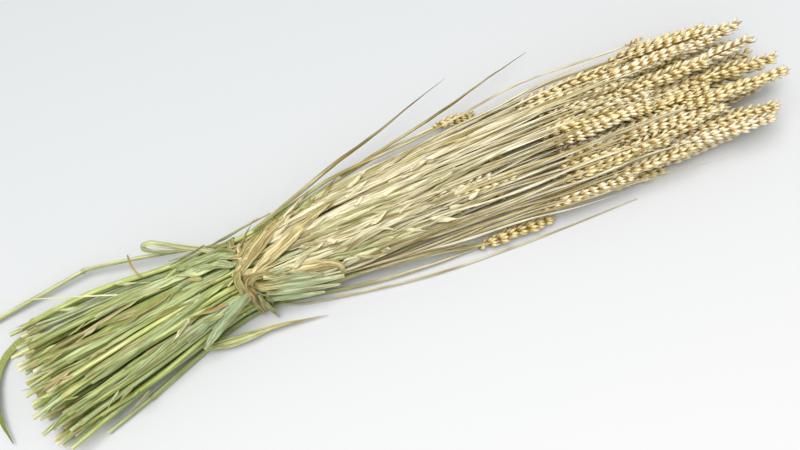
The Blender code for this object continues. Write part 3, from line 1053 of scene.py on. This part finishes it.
def strip(points, widths, count=26, twist=(0.0, 0.0), facing=(0, 0, 1), **values):
    """A blade through control points, with widths and colour values given at a few places."""
    course = smooth(points, count)
    shares = [k / (count - 1) for k in range(count)]

    def along(numbers):
        if not hasattr(numbers, "__len__"):
            return numbers
        return list(np.interp(shares, np.linspace(0, 1, len(numbers)), numbers))

    facings = []
    for index, share in enumerate(shares):
        ahead = direction(course, index)
        angle = math.radians(twist[0] + (twist[1] - twist[0]) * share)
        facings.append(Matrix.Rotation(angle, 3, ahead) @ Vector(facing))
    return Course(course, [w / 2 for w in along(widths)], facings,
                  **{key: along(value) for key, value in values.items()})


print("a blade has a ring of", RING_POINTS, "points")

# %% [markdown]
# ## Blades that stand clear of the bundle
# Each of these has a solid of its own in the model, so it is drawn over the same course.

# %% Blades with solids
NAMED_BLADES = {
    "leaf_upper_a": dict(
        points=((-0.125, 0.0560, 0.0290), (-0.098, 0.0630, 0.0290), (-0.044, 0.0790, 0.0305),
                (0.000, 0.0900, 0.0290), (0.040, 0.1030, 0.0245), (0.077, 0.1150, 0.0160)),
        widths=(0.0026, 0.0034, 0.0038, 0.0030, 0.0018, 0.0005), twist=(0, 75),
        green=(0.30, 0.15, 0.05), tone=1.0, joint=0.16),
    "leaf_upper_b": dict(
        points=((-0.040, 0.0710, 0.0200), (-0.006, 0.0765, 0.0200), (0.064, 0.0880, 0.0235),
                (0.110, 0.0990, 0.0200), (0.152, 0.1095, 0.0110)),
        widths=(0.0022, 0.0028, 0.0026, 0.0018, 0.0005), twist=(10, 60),
        green=(0.25, 0.10, 0.05), tone=1.0, joint=0.16),
    "leaf_low_tie": dict(
        points=((-0.200, -0.0170, 0.0100), (-0.175, -0.0205, 0.0095), (-0.145, -0.0220, 0.0080),
                (-0.116, -0.0265, 0.0050), (-0.0955, -0.0310, 0.0020)),
        widths=(0.004, 0.0080, 0.0085, 0.0046, 0.0036, 0.0022, 0.0006), twist=(15, -70),
        green=(0.72, 0.55, 0.15), hue=0.1,
        joint=(0.0, 0.0, 0.1, 0.55, 0.65, 0.5), tone=0.25),
    "leaf_loop": dict(
        points=((-0.160, 0.0520, 0.0300), (-0.176, 0.0610, 0.0315), (-0.190, 0.0690, 0.0340),
                (-0.203, 0.0770, 0.0360), (-0.2115, 0.0800, 0.0335), (-0.2135, 0.0780, 0.0280),
                (-0.207, 0.0735, 0.0240), (-0.192, 0.0670, 0.0225)),
        widths=(0.004, 0.005, 0.0055, 0.005, 0.0045, 0.004, 0.003, 0.0015),
        green=(0.6, 0.5, 0.55), hue=0.7, tone=0.25, count=40),
    "leaf_cut_end": dict(
        points=((-0.318, 0.0545, 0.0045), (-0.345, 0.0510, 0.0050), (-0.364, 0.0370, 0.0070),
                (-0.374, 0.0160, 0.0090), (-0.377, -0.0040, 0.0090), (-0.375, -0.0250, 0.0050)),
        widths=(0.004, 0.0065, 0.0065, 0.0065, 0.005, 0.001), twist=(0, 25), green=(0.8, 0.9, 1.3),
        tone=(0.6, 1.0, 2.0)),
}
for number, (node, look) in enumerate(NAMED_BLADES.items()):
    slot = "leaf_green" if node in ("leaf_low_tie", "leaf_cut_end") else "leaf_dry"
    blade_piece(node + "_grown", [strip(**look)], [node], LEAF, seed=number * 3.1)

print("blades with a solid:", len(NAMED_BLADES))

# %% [markdown]
# ## Two loose stems
# A bent stem lies beyond the cut ends and a bare thin strand along the near side. Both are tubes,
# so the stalk tree grows them, with no ear.

# %% Loose stems
stray = strip(
    ((-0.150, 0.0560, 0.0180), (-0.211, 0.0730, 0.0145), (-0.262, 0.0842, 0.0110),
     (-0.270, 0.0848, 0.0107), (-0.278, 0.0842, 0.0102), (-0.348, 0.0770, 0.0050),
     (-0.362, 0.0755, 0.0035)),
    (0.0026, 0.0034, 0.0036, 0.0048, 0.0038, 0.0042, 0.0040), count=60, tone=0.45, hue=0.7,
    green=(0.7, 0.6, 0.55, 0.52, 0.55, 0.55), joint=(0, 0, 0, 0, 0.05, 0.5, 0.1, 0, 0, 0, 0, 0))
thin = strip(
    ((-0.125, -0.0080, 0.0055), (-0.100, -0.0165, 0.0045), (-0.010, -0.0340, 0.0030),
     (0.066, -0.0410, 0.0016), (0.130, -0.0440, 0.0012), (0.187, -0.0455, 0.0010)),
    (0.0016, 0.0017, 0.0016, 0.0014, 0.0006), count=40, tone=0.7)
for node, course, slot in (("stray_stem", stray, "leaf_green"), ("strand_low", thin, "leaf_dry")):
    piece = stem_piece(node + "_grown", [course], [node], hollow=0.003)
    print(node, "faces:", len(piece.data.polygons))

# %% [markdown]
# ## Laying a loose blade
# Most of what shows near the tie is leaf, not stem. A blade is laid by walking along the stalks
# from a starting place, a little askew, and resting each point on the surface below it. A point
# that would drop too steeply from its neighbours is held up, so the blade bridges a gap.

# %% Lay a blade
REST_STEP = 0.006       # how far to each side of a point the surface is looked up
SUPPORTED = 0.45        # how much of its width on each side a blade rests on
POINT_GAP = 0.006       # about how far apart its points are
HALF_WAIST = 0.026      # half the bundle's width at the tie


def station_spread(x):
    low, share = station_mix(x)
    return STATIONS[low][2] * (1 - share) + STATIONS[low + 1][2] * share


def beside(x, share, half=HALF_WAIST):
    """Y at x, a share of the way from the middle of the bundle to its edge."""
    return TIE_Y + share * half * station_spread(x)


def rest_height(x, y, width):
    """Height of the surface under a blade, and the facing that follows the slope there."""
    reach = width * SUPPORTED
    height = max(top_at(x, y, reach), top_at(x + REST_STEP, y, reach),
                 top_at(x - REST_STEP, y, reach))
    slope = (top_at(x, y + REST_STEP) - top_at(x, y - REST_STEP)) / (2 * REST_STEP)
    return height, Vector((0, -0.7 * max(-1.5, min(1.5, slope)), 1))


def laid(x, y, length, width, heading, dice, lift=0.0007, end_lift=0.0, twist=(0.0, 0.0),
         blunt=False, steep=0.22, **look):
    """A blade from x, y towards heading, in degrees from the stalks' own direction there."""
    count = max(8, int(length / POINT_GAP))
    shares = [k / (count - 1) for k in range(count)]
    way = 1 if math.cos(math.radians(heading)) > 0 else -1
    askew = math.tan(math.radians(heading)) + dice.uniform(-0.02, 0.02)
    wave = dice.uniform(0, 6)
    across = (y - TIE_Y) / max(0.6, station_spread(x))
    near = Stalk(0, across, 0, 0, 0, [(0, 0)] * len(STATIONS))
    points, facings = [], []
    for share in shares:
        here = x + way * length * share
        course = near.plain(here).y - near.plain(x).y
        aside = (y + course + way * length * share * askew
                 + 0.0008 * math.sin(here * 60 + wave))
        height, facing = rest_height(here, aside, width)
        points.append(Vector((here, aside, height + lift + end_lift * share ** 3)))
        facings.append(facing)
    heights = [p.z for p in points]
    for k, point in enumerate(points):
        point.z = max(h - steep * abs(k - j) * length / count for j, h in enumerate(heights))
    heights = [p.z for p in points]
    for k, point in enumerate(points):
        around = heights[max(0, k - 1):k + 2]
        point.z = sum(around) / len(around)
    taper, taper_from = (0.45, 0.8) if blunt else (0.93, 0.45)
    widths = [width * (0.35 + 0.65 * step_up(s, 0, 0.18))
              * (1 - taper * step_up(s, taper_from, 1.0)) for s in shares]
    turned = []
    for k, face in enumerate(facings):
        angle = math.radians(twist[0] + (twist[1] - twist[0]) * k / (count - 1))
        turned.append(Matrix.Rotation(angle, 3, direction(points, k)) @ face)
    return Course(points, [w / 2 for w in widths], turned, **look)


def any_twist(dice, start, end):
    """Turns of a blade's two ends, in degrees, up to so much either way."""
    return dice.uniform(-start, start), dice.uniform(-end, end)


def laid_piece(name, courses_in):
    print(name, len(courses_in))
    return blade_piece(name, courses_in, [], LEAF, fold=0.55, crumple=0.0036,
                       seed=len(courses_in) * 0.7)


leaf_dice = random.Random(31)
between = leaf_dice.uniform
print("half width of the bundle at the cut end: %.0f mm" % (1000 * (beside(CUT_X, 1.0) - TIE_Y)))

# %% [markdown]
# ## Blades on the cut end
# Green and half-dry blades run from just before the tie towards the cut end and stop short of it.
# About half of them are torn off blunt.

# %% Blades on the cut end
cut_blades = []
for number in range(24):
    x = between(-0.20, -0.135)
    y = beside(x, between(-1.0, 1.0))
    reach = min(between(0.07, 0.17), x - CUT_X - 0.022)
    cut_blades.append(laid(
        x, y, reach, between(0.0032, 0.0062), 180 + between(-5, 5), leaf_dice,
        lift=between(0.0004, 0.0022), green=between(0.55, 1.0),
        tone=between(0.0, 1.0), hue=leaf_dice.random(), blunt=leaf_dice.random() < 0.5,
        twist=any_twist(leaf_dice, 15, 50), end_lift=between(0, 0.003)))
laid_piece("loose_blades_cut_end", cut_blades)

# %% [markdown]
# ## Brown strips
# A few torn strips on the cut end have died back to brown. They are narrow and curled, and are
# placed one by one, because they catch the eye.

# %% Brown strips
BROWN = (
    # x, y, length, width, heading
    (-0.225, 0.038, 0.095, 0.0034, 3), (-0.255, 0.020, 0.050, 0.0028, -9),
    (-0.205, 0.030, 0.040, 0.0032, 5), (-0.165, 0.006, 0.034, 0.0036, -14),
    (-0.300, 0.006, 0.030, 0.0026, 6), (-0.262, 0.034, 0.052, 0.0024, 11),
    (-0.232, 0.028, 0.026, 0.0034, -5), (-0.305, 0.020, 0.028, 0.0030, -12))
brown_blades = [
    laid(x, y, length, width, 180 + heading, leaf_dice, lift=0.0026, green=0.0, hue=0.5, tone=0.85,
         joint=between(0.2, 0.8), blunt=True, twist=any_twist(leaf_dice, 60, 120),
         end_lift=0.003)
    for x, y, length, width, heading in BROWN]
laid_piece("loose_blades_brown", brown_blades)

# %% [markdown]
# ## Blades on the straw side
# Here the leaf is dry, except for some near the tie on the low side that kept their green.

# %% Blades on the straw side
straw_blades = []
for number in range(46):
    x = between(-0.150, -0.060)
    across = between(-1.0, 1.0)
    kept_green = across < -0.35 and x < -0.09
    straw_blades.append(laid(
        x, beside(x, across), between(0.05, 0.17), between(0.0024, 0.0062),
        between(-7, 9), leaf_dice, lift=between(0.0004, 0.0024), hue=0.5,
        green=between(*((0.35, 0.75) if kept_green else (0.0, 0.30))),
        tone=either_tone(leaf_dice), twist=any_twist(leaf_dice, 35, 90),
        end_lift=between(0, 0.005)))
laid_piece("loose_blades_straw", straw_blades)

# %% [markdown]
# ## Scraps
# Short bits of broken leaf lie at all angles. On the straw side some are bleached. On the cut end
# every other one is a fine torn fibre by the cut, and the rest lie further in.

# %% Scraps
scraps = []
for number in range(34):
    x = between(-0.125, 0.000) if number % 4 else between(-0.04, 0.05)
    scraps.append(laid(
        x, beside(x, between(-0.75, 1.0)), between(0.009, 0.024),
        between(0.003, 0.0055), between(-28, 28), leaf_dice, lift=0.0026,
        hue=0.5, green=between(-0.1, 0.15), tone=between(0, 0.6),
        bleach=leaf_dice.choice((0.0, 0.0, 0.6)), twist=any_twist(leaf_dice, 60, 90),
        end_lift=between(0.0, 0.004)))
laid_piece("loose_scraps", scraps)
cut_scraps = []
for number in range(44):
    at_cut = number % 2
    x = between(*((-0.325, -0.300) if at_cut else (-0.29, -0.17)))
    y = TIE_Y - 0.015 * (x < -0.24) + between(-1.0, 1.0) * 0.027 * station_spread(x)
    cut_scraps.append(laid(
        x, y, between(0.010, 0.026),
        between(*((0.0010, 0.0024) if at_cut else (0.002, 0.004))),
        180 + between(-24, 24), leaf_dice, lift=0.0020,
        green=between(0.1, 0.9), tone=between(0.0, 1.0),
        hue=leaf_dice.random(), joint=leaf_dice.choice((0.0, 0.0, 0.15, 0.5)),
        twist=any_twist(leaf_dice, 60, 90), end_lift=between(-0.001, 0.004)))
laid_piece("loose_scraps_cut_end", cut_scraps)

# %% [markdown]
# ## Thin strands
# Between the straws run many thin ones, from stalks whose ears broke off. They fill the straw
# half with fine lines. They are laid like blades but swept as tubes.

# %% Thin strands
strands = []
for number in range(120):
    x = between(-0.120, 0.060)
    y = beside(x, between(-1.0, 1.0), 0.027)
    strands.append(laid(
        x, y, between(0.12, 0.24), between(0.0014, 0.0024),
        between(-3.5, 3.5), leaf_dice, lift=between(0.0003, 0.0014), hue=0.5,
        green=between(0.0, 0.12), tone=either_tone(leaf_dice), steep=0.10))
stem_piece("loose_strands", strands, [], hollow=0.001)
print("thin strands:", len(strands))

# %% [markdown]
# ## The tie
# The waist is held by leaf blades wound round it and knotted on top. They sweep in from the straw
# side, fold into a curl with a dark hole in it, and their tails fan towards the cut end. The band
# under the knot follows the outline of the tied stalks.

# %% Outline of the tied stalks
ROUND = 72              # places round the waist


def outline(offset, steps_round=12):
    """The convex outline of the stalks at the tie, in Y and Z, offset from their surface."""
    centres = [stalk.plain(TIE_X) for stalk in stalks]
    radius = STATIONS[2][5] + offset
    dots = [(c.y + radius * math.cos(a), c.z + radius * math.sin(a)) for c in centres
            for a in (2 * math.pi * k / steps_round for k in range(steps_round))]
    dots.sort()

    def half(order):
        chain = []
        for dot in order:
            while len(chain) > 1:
                (ax, ay), (bx, by) = chain[-2:]
                if (bx - ax) * (dot[1] - ay) - (by - ay) * (dot[0] - ax) > 1e-9:
                    break
                chain.pop()
            chain.append(dot)
        return chain[:-1]

    ring = half(dots) + half(dots[::-1])
    lengths = [math.dist(ring[i], ring[(i + 1) % len(ring)]) for i in range(len(ring))]
    total, places = sum(lengths), []
    for k in range(ROUND):
        want, i = total * k / ROUND, 0
        while want > lengths[i]:
            want -= lengths[i]
            i += 1
        a, b = ring[i], ring[(i + 1) % len(ring)]
        share = want / lengths[i]
        places.append((a[0] + (b[0] - a[0]) * share, a[1] + (b[1] - a[1]) * share))
    return places


print("round the waist: %.0f mm" % (1000 * sum(
    math.dist(a, b) for a, b in zip(outline(0.0), outline(0.0)[1:]))))

# %% [markdown]
# ## The band
# Three blades are wound round the waist, one over another, and cross the width of the band as
# they go. The knot hides where each begins and ends.

# %% The band
def wound(offset, x_start, x_end, begin, turns, width, **values):
    """A blade wound round the waist, as a course from one side of the band to the other."""
    ring = outline(offset)
    count = int(ROUND * turns)
    points, facings = [], []
    for k in range(count):
        y, z = ring[(begin + k) % ROUND]
        points.append(Vector((x_start + (x_end - x_start) * k / (count - 1), y, z)))
        facings.append(Vector((0, y - TIE_Y, z - 0.024)))
    shares = [k / (count - 1) for k in range(count)]
    wide = [width / 2 * (0.5 + 0.5 * math.sin(math.pi * s) ** 0.4) for s in shares]
    return Course(points, wide, facings, **values)


band = [wound(0.0008, -0.149, -0.138, 20, 1.02, 0.0070, green=0.55, tone=0.55, hue=0.4),
        wound(0.0010, -0.140, -0.147, 52, 1.02, 0.0060, green=0.45, tone=0.30, hue=0.7),
        wound(0.0013, -0.145, -0.143, 34, 1.00, 0.0040, green=0.30, tone=0.75)]
blade_piece("tie_band_grown", band, ["tie_band"], TIE_LEAF, fold=0.10,
            crumple=0.0022)
print("blades in the band:", len(band))

# %% [markdown]
# ## Blades drawn into the tie
# Broad dry blades come in from the straw side, narrow as they are pulled under the band, and one
# green tail leaves it towards the cut end. Each is a strip through a few chosen places. Its height
# is looked up from the stalks below, so it lies on the bundle and needs no height of its own.

# %% Blades drawn into the tie
DRAWN_POINTS = 34
tie_dice = random.Random(9)


def drawn(places, widths, facing=(0, 0, 1), lifts=(0.001, 0.002, 0.003), **values):
    """A blade over the bundle through places in X and Y, lifted a little off it."""
    controls = []
    for (x, y), lift in zip(places, np.interp(np.linspace(0, 1, len(places)),
                                              np.linspace(0, 1, len(lifts)), lifts)):
        under = max(top_at(x + d, y, 0.004) for d in (-REST_STEP, 0, REST_STEP))
        controls.append(Vector((x, y, under + lift)))
    return strip(controls, widths, count=DRAWN_POINTS, facing=facing, **values)


TIE_BLADES = {
    "tie_blade_a": [
        drawn(((-0.070, 0.0690), (-0.092, 0.0590), (-0.112, 0.0490), (-0.130, 0.0370),
               (-0.142, 0.0290), (-0.153, 0.0230)),
              (0.001, 0.006, 0.0105, 0.0115, 0.007, 0.005), (0, 0.3, 1),
              (0.001, 0.003, 0.003, 0.003), tone=0.35, green=0.05, twist=(20, -10)),
        drawn(((-0.082, 0.0560), (-0.105, 0.0480), (-0.126, 0.0360), (-0.140, 0.0280),
               (-0.160, 0.0180)), (0.001, 0.006, 0.008, 0.006, 0.003), (0, 0.2, 1),
              (0.002, 0.0045, 0.0045), tone=0.7, green=0.08, twist=(-30, 20))],
    "tie_blade_b": [
        drawn(((-0.050, 0.0510), (-0.078, 0.0420), (-0.098, 0.0350), (-0.118, 0.0270),
               (-0.133, 0.0210), (-0.141, 0.0160)),
              (0.001, 0.006, 0.0115, 0.0105, 0.006, 0.004), (0, 0, 1), (0.002, 0.004, 0.004),
              tone=0.25, green=0.05, twist=(25, -15))],
    "tie_blade_c": [
        drawn(((-0.131, 0.0130), (-0.118, 0.0100), (-0.104, 0.0080), (-0.088, 0.0050),
               (-0.072, -0.0010), (-0.069, -0.0080)),
              (0.004, 0.008, 0.0105, 0.010, 0.007, 0.004), (0, -0.4, 1), (0.003, 0.003, 0.004),
              tone=0.15, green=0.06, twist=(-10, 30))],
    "tie_tail": [
        drawn(((-0.143, 0.0060), (-0.155, 0.0010), (-0.168, -0.0040), (-0.182, -0.0100),
               (-0.199, -0.0190)), (0.006, 0.0095, 0.0105, 0.009, 0.004), (0, -0.9, 1),
              (0.003, 0.003, 0.002), tone=0.0, green=0.80, hue=1.0, twist=(0, 12)),
        drawn(((-0.1400, 0.0020), (-0.1385, -0.0060), (-0.1365, -0.0120), (-0.1335, -0.0170)),
              (0.002, 0.0055, 0.0065, 0.0030), (0, -0.8, 1), (0.003, 0.003, 0.005), tone=0.7,
              green=0.55, hue=0.1, twist=(0, 70))],
}
for node, courses_in in TIE_BLADES.items():
    slot = "leaf_green" if node == "tie_tail" else "tie_leaf"
    blade_piece(node + "_grown", courses_in, [node], TIE_LEAF, fold=0.30, crumple=0.0022,
                seed=len(node) * 1.7)
print("tie blades:", ", ".join(TIE_BLADES))

# %% [markdown]
# ## The knot
# Where the blades cross they are pinched, and stand on their edges in tight S-shaped folds, with a
# small dark hollow in the innermost one. A fold is the same strip as before, turned on its side and
# leaned over. Five of them, nested, read as one knot.

# %% The knot
FOLD_POINTS = 30


def drape(places, tall, lean=0.0, **values):
    """A blade standing on its edge over the bundle, along places in X and Y."""
    under = [Vector((x, y, top_at(x, y, 0.003) + tall * 0.42 + rise)) for x, y, rise in places]
    course = smooth(under, FOLD_POINTS)
    facings = []
    for index in range(len(course)):
        ahead = direction(course, index)
        level = Vector((0, -0.4, 1)).cross(ahead).normalized()
        facings.append(Matrix.Rotation(lean, 3, ahead) @ level)
    ends = [min(k / (FOLD_POINTS - 1) * 1.15, 1) ** 0.8 for k in range(FOLD_POINTS)]
    wide = [tall / 2 * (0.35 + 0.65 * math.sin(math.pi * end) ** 0.5) for end in ends]
    return Course(course, wide, facings, **values)


knot = [
    drape(((-0.1461, 0.0257, 0.000), (-0.1490, 0.0200, 0.001), (-0.1489, 0.0146, 0.001),
           (-0.1477, 0.0070, 0.0005), (-0.1468, -0.0013, 0.0), (-0.1454, -0.0090, 0.0)),
          0.0085, -0.60, tone=0.55, green=0.25, hue=0.7),
    drape(((-0.1391, 0.0173, 0.001), (-0.1431, 0.0147, 0.002), (-0.1450, 0.0092, 0.0015),
           (-0.1432, 0.0034, 0.001), (-0.1444, -0.0020, 0.0), (-0.1428, -0.0084, 0.0)),
          0.0080, 0.45, tone=0.15, green=0.10),
    drape(((-0.1313, 0.0130, 0.0), (-0.1360, 0.0142, 0.001), (-0.1404, 0.0121, 0.0015),
           (-0.1412, 0.0066, 0.001), (-0.1378, 0.0023, 0.001), (-0.1336, -0.0010, 0.0),
           (-0.1330, -0.0062, 0.0), (-0.1376, -0.0090, 0.0)), 0.0090, -0.20, tone=0.30, green=0.40,
          hue=0.9),
    drape(((-0.1206, 0.0136, 0.0), (-0.1292, 0.0150, 0.0005), (-0.1375, 0.0165, 0.002),
           (-0.1425, 0.0172, 0.002), (-0.1470, 0.0140, 0.0)), 0.0080, 0.90, tone=0.25, green=0.02),
    drape(((-0.1490, 0.0265, 0.0), (-0.1515, 0.0180, 0.0), (-0.1512, 0.0080, 0.0),
           (-0.1500, -0.0020, 0.0)), 0.0070, 0.80, tone=0.70, green=0.50, hue=0.5),
]
blade_piece("tie_knot_grown", knot, ["tie_knot"], TIE_LEAF, fold=0.10,
            crumple=0.0020)
print("folds in the knot:", len(knot))

# %% [markdown]
# ## Small blades gathered at the tie
# The loose leaf near the band is caught by it too. Short strips start anywhere on the straw side
# and run together at the band, which hides their ends.

# %% Blades gathered at the tie
gathered = []
for number in range(16):
    x = tie_dice.uniform(-0.128, -0.100)
    y = TIE_Y + tie_dice.uniform(-0.9, 1.0) * 0.030
    pinch = TIE_Y + (y - TIE_Y) * 0.45
    far = -0.141 - tie_dice.uniform(0.002, 0.009)
    places = ((x, y), ((x + far) / 2 - 0.002, (y * 0.6 + pinch * 0.4)), (-0.141, pinch),
              (far, pinch + tie_dice.uniform(-0.004, 0.004)))
    gathered.append(drawn(
        places, (0.001, tie_dice.uniform(0.003, 0.0065), 0.0045, 0.002), (0, 0, 1),
        (0.001, 0.0035, 0.003), tone=tie_dice.uniform(0.1, 0.9), green=tie_dice.uniform(0.0, 0.45),
        twist=(tie_dice.uniform(-50, 50), 0)))
blade_piece("loose_blades_tie", gathered, [], TIE_LEAF, fold=0.35, crumple=0.0025,
            seed=5.0)
print("gathered blades:", len(gathered))

# %% [markdown]
# ## Thin ends on the upper edge
# Thin dark ends stand off the far edge of the bundle by the tie. They are placed one by one,
# because they are few and each is seen against the floor.

# %% Thin ends on the upper edge
UPPER = (
    ((-0.2000, 0.0570), (-0.1740, 0.0590), (-0.1500, 0.0590), (-0.1310, 0.0620), (-0.1060, 0.0640)),
    ((-0.1945, 0.0550), (-0.1700, 0.0555), (-0.1470, 0.0560)),
    ((-0.1860, 0.0520), (-0.1600, 0.0580), (-0.1360, 0.0610), (-0.1160, 0.0640)),
    ((-0.1980, 0.0590), (-0.1830, 0.0580), (-0.1660, 0.0600)))
fine_tips = [strip([Vector((x, y, 0.026 + 0.002 * k)) for x, y in places],
                   (0.0006, 0.0014, 0.0015, 0.0012), 24, tone=1.0, green=(0.7, 0.5, 0.2), hue=1.0)
             for k, places in enumerate(UPPER)]
fine_tips.append(strip(
    ((-0.2450, 0.0490, 0.0400), (-0.2630, 0.0557, 0.0390), (-0.2988, 0.0701, 0.0320),
     (-0.3371, 0.0846, 0.0230)), (0.0014, 0.0014, 0.0012, 0.0005), 30, tone=0.15, green=0.25))
fine_tips.append(strip(
    ((-0.2240, 0.0570, 0.0300), (-0.2271, 0.0643, 0.0300), (-0.2277, 0.0719, 0.0310),
     (-0.2266, 0.0775, 0.0330)), (0.0018, 0.0024, 0.0022, 0.0014), 16, tone=0.8, joint=0.8,
    twist=(0, 50)))
blade_piece("loose_strands_upper", fine_tips, [], LEAF, fold=0.30, crumple=0.0010,
            seed=9.0)
print("thin ends:", len(fine_tips))

# %% [markdown]
# ## Green sheaths beside the knot
# On the near side of the knot a few stems keep their green sheaths, smooth and almost straight.

# %% Sheaths beside the knot
SHEATHS = (
    # start x, y, end x, y, width
    (-0.1340, 0.0010, -0.0760, -0.0140, 0.0060), (-0.1330, 0.0050, -0.0700, -0.0100, 0.0070),
    (-0.1310, 0.0090, -0.0850, -0.0020, 0.0064), (-0.1280, 0.0120, -0.0980, 0.0040, 0.0056),
    (-0.1360, -0.0030, -0.0900, -0.0145, 0.0050), (-0.1340, 0.0150, -0.1080, 0.0110, 0.0050))
sheaths = []
for x, y, far_x, far_y, width in SHEATHS:
    sheaths.append(drawn(((x, y), ((x * 2 + far_x) / 3, (y * 2 + far_y) / 3),
                          ((x + far_x * 2) / 3, (y + far_y * 2) / 3), (far_x, far_y)),
                         (width * 0.5, width, width, width * 0.8, width * 0.4), (0, -0.7, 1),
                         (0.002, 0.0015, 0.002), tone=tie_dice.uniform(0.0, 0.4), hue=1.0,
                         green=(0.75, 0.70, 0.60, 0.30), twist=(0, tie_dice.uniform(-15, 15))))
blade_piece("loose_sheaths_tie", sheaths, [], LEAF, fold=0.12, crumple=0.0010,
            seed=2.0)
print("sheaths:", len(sheaths))

# %% [markdown]
# ## Folded leaf behind the tie
# On the far side green leaf is folded back on itself in short, broad, crumpled loops.

# %% Folded leaf
folded = []
for number in range(7):
    x = tie_dice.uniform(-0.172, -0.150)
    y = tie_dice.uniform(0.034, 0.056)
    far = x - tie_dice.uniform(0.020, 0.045)
    places = ((x + 0.012, y - 0.006), (x, y), ((x + far) / 2, y + tie_dice.uniform(0, 0.006)),
              (far, y + tie_dice.uniform(-0.004, 0.010)))
    folded.append(drawn(
        places, (0.003, 0.006, tie_dice.uniform(0.006, 0.009), 0.0015), (0, 0.3, 1),
        (0.003, 0.004, 0.003), tone=tie_dice.uniform(0.1, 0.8), green=0.75,
        hue=tie_dice.uniform(0.3, 1.0), joint=(0.0, 0.0, 0.3), twist=any_twist(tie_dice, 50, 90)))
blade_piece("loose_leaves_tie", folded, [], LEAF, fold=0.35, crumple=0.0035, seed=7.0)
print("folded leaves:", len(folded))

# %% [markdown]
# ## Leaf tips
# Dry tips stick out and up along the far edge of the straw side, each with a random curl.

# %% Leaf tips
tips = []
for number in range(9):
    x = tie_dice.uniform(-0.138, -0.060)
    edge = beside(x, 1.0, 0.027)
    low = Vector((x, edge - 0.006, top_at(x, edge - 0.006) + 0.002))
    reach = tie_dice.uniform(0.012, 0.026)
    high = low + Vector((tie_dice.uniform(0.3, 1.0), tie_dice.uniform(0.25, 0.6), 0.15)) * reach
    tips.append(strip((low - Vector((0.014, 0.004, 0.002)), low, (low + high) / 2, high),
                      (0.002, 0.0034, 0.0026, 0.0005), 20, tone=1.0, green=(0.35, 0.2, 0.1),
                      joint=(0, 0, 0.35), twist=(0, tie_dice.uniform(-120, 120))))
blade_piece("loose_tips_tie", tips, [], LEAF, fold=0.35, crumple=0.0015, seed=3.0)
print("leaf tips:", len(tips))

# %% [markdown]
# ## Clearing up
# The four spikelet shapes were only patterns to copy. They have done their work, so they go.

# %% Clearing up
for shape in list(spikelet_shapes.objects):
    bpy.data.objects.remove(shape)
bpy.data.collections.remove(spikelet_shapes)

# %% [markdown]
# ## Floor
# A plain pale sheet, much larger than the bundle, so that no edge of it shows. Its colour is
# painted
# a little darker on the far side: a painted falloff of light, as on a sheet that turns away from
# the window.

# %% Floor
FLOOR_SIDE = 60.0
# painted light: the floor is paler on the near side and painted darker, as shade, on the far side
NEAR_PAINTED_LIGHT, FAR_PAINTED_SHADE = (0.757, 0.762, 0.788, 1), (0.535, 0.566, 0.594, 1)

bpy.ops.mesh.primitive_plane_add(size=FLOOR_SIDE)
floor = bpy.context.object
floor.name = "floor"
sheet = Finish("floor_sheet")
place = sheet.add("ShaderNodeSeparateXYZ", {0: sheet.add("ShaderNodeTexCoord", out="Object")}, "Y")
# painted falloff of light across the floor, from the paler near tint to the painted shade far off
painted_falloff = sheet.mix(sheet.spread(place, -0.35, 0.35), NEAR_PAINTED_LIGHT, FAR_PAINTED_SHADE)
sheet.shader.inputs["Roughness"].default_value = 0.9
floor.data.materials.append(sheet.surface(painted_falloff, 0.1))
print("floor:", tuple(round(side) for side in floor.dimensions[:2]), "m")

# %% [markdown]
# ## Light
# One large soft lamp hangs almost overhead, a little towards the far left, and gives short soft
# shadows. An even pale sky fills them.

# %% Light
SKY, SKY_STRENGTH = (0.99, 0.985, 0.965, 1), 0.62
KEY_AT, KEY_AIM = Vector((-0.34, 0.58, 2.98)), Vector((0.1, -0.1, 0))
KEY_SIZE, KEY_WATTS, KEY_COLOUR = 2.1, 80.0, (1.0, 0.985, 0.95)

world = bpy.data.worlds.new("studio")
bpy.context.scene.world = world
world.use_nodes = True
sky = world.node_tree.nodes["Background"]
sky.inputs["Color"].default_value = SKY
sky.inputs["Strength"].default_value = SKY_STRENGTH

key_light = bpy.data.lights.new("key", "AREA")
key_light.shape = "DISK"
key_light.size = KEY_SIZE
key_light.energy = KEY_WATTS
key_light.color = KEY_COLOUR
key = bpy.data.objects.new("key", key_light)
bpy.context.scene.collection.objects.link(key)
key.location = KEY_AT
key.rotation_euler = (KEY_AIM - KEY_AT).to_track_quat("-Z", "Y").to_euler()
print("key light, m from its aim:", round((KEY_AT - KEY_AIM).length, 2))

# %% [markdown]
# ## Camera
# The camera looks down steeply, a little from the left of the cut ends. Its direction is given as
# an angle round the bundle and an angle up from the floor.

# %% Camera
AZIMUTH, ELEVATION, DISTANCE = math.radians(-23.7), math.radians(80), 0.938
aim = Vector((-0.0100, 0.0131, 0.0150)) + SHIFT
back = Vector((math.sin(AZIMUTH) * math.cos(ELEVATION), -math.cos(AZIMUTH) * math.cos(ELEVATION),
               math.sin(ELEVATION)))
lens = bpy.data.cameras.new("camera")
lens.lens = 50.0
lens.sensor_width = 36.0
lens.clip_start = 0.01
camera = bpy.data.objects.new("camera", lens)
bpy.context.scene.collection.objects.link(camera)
camera.location = aim + back * DISTANCE
camera.rotation_euler = (-back).to_track_quat("-Z", "Y").to_euler()
bpy.context.scene.camera = camera
bpy.context.scene.view_settings.view_transform = "Standard"
print("camera at", tuple(round(c, 3) for c in camera.location))

# %% [markdown]
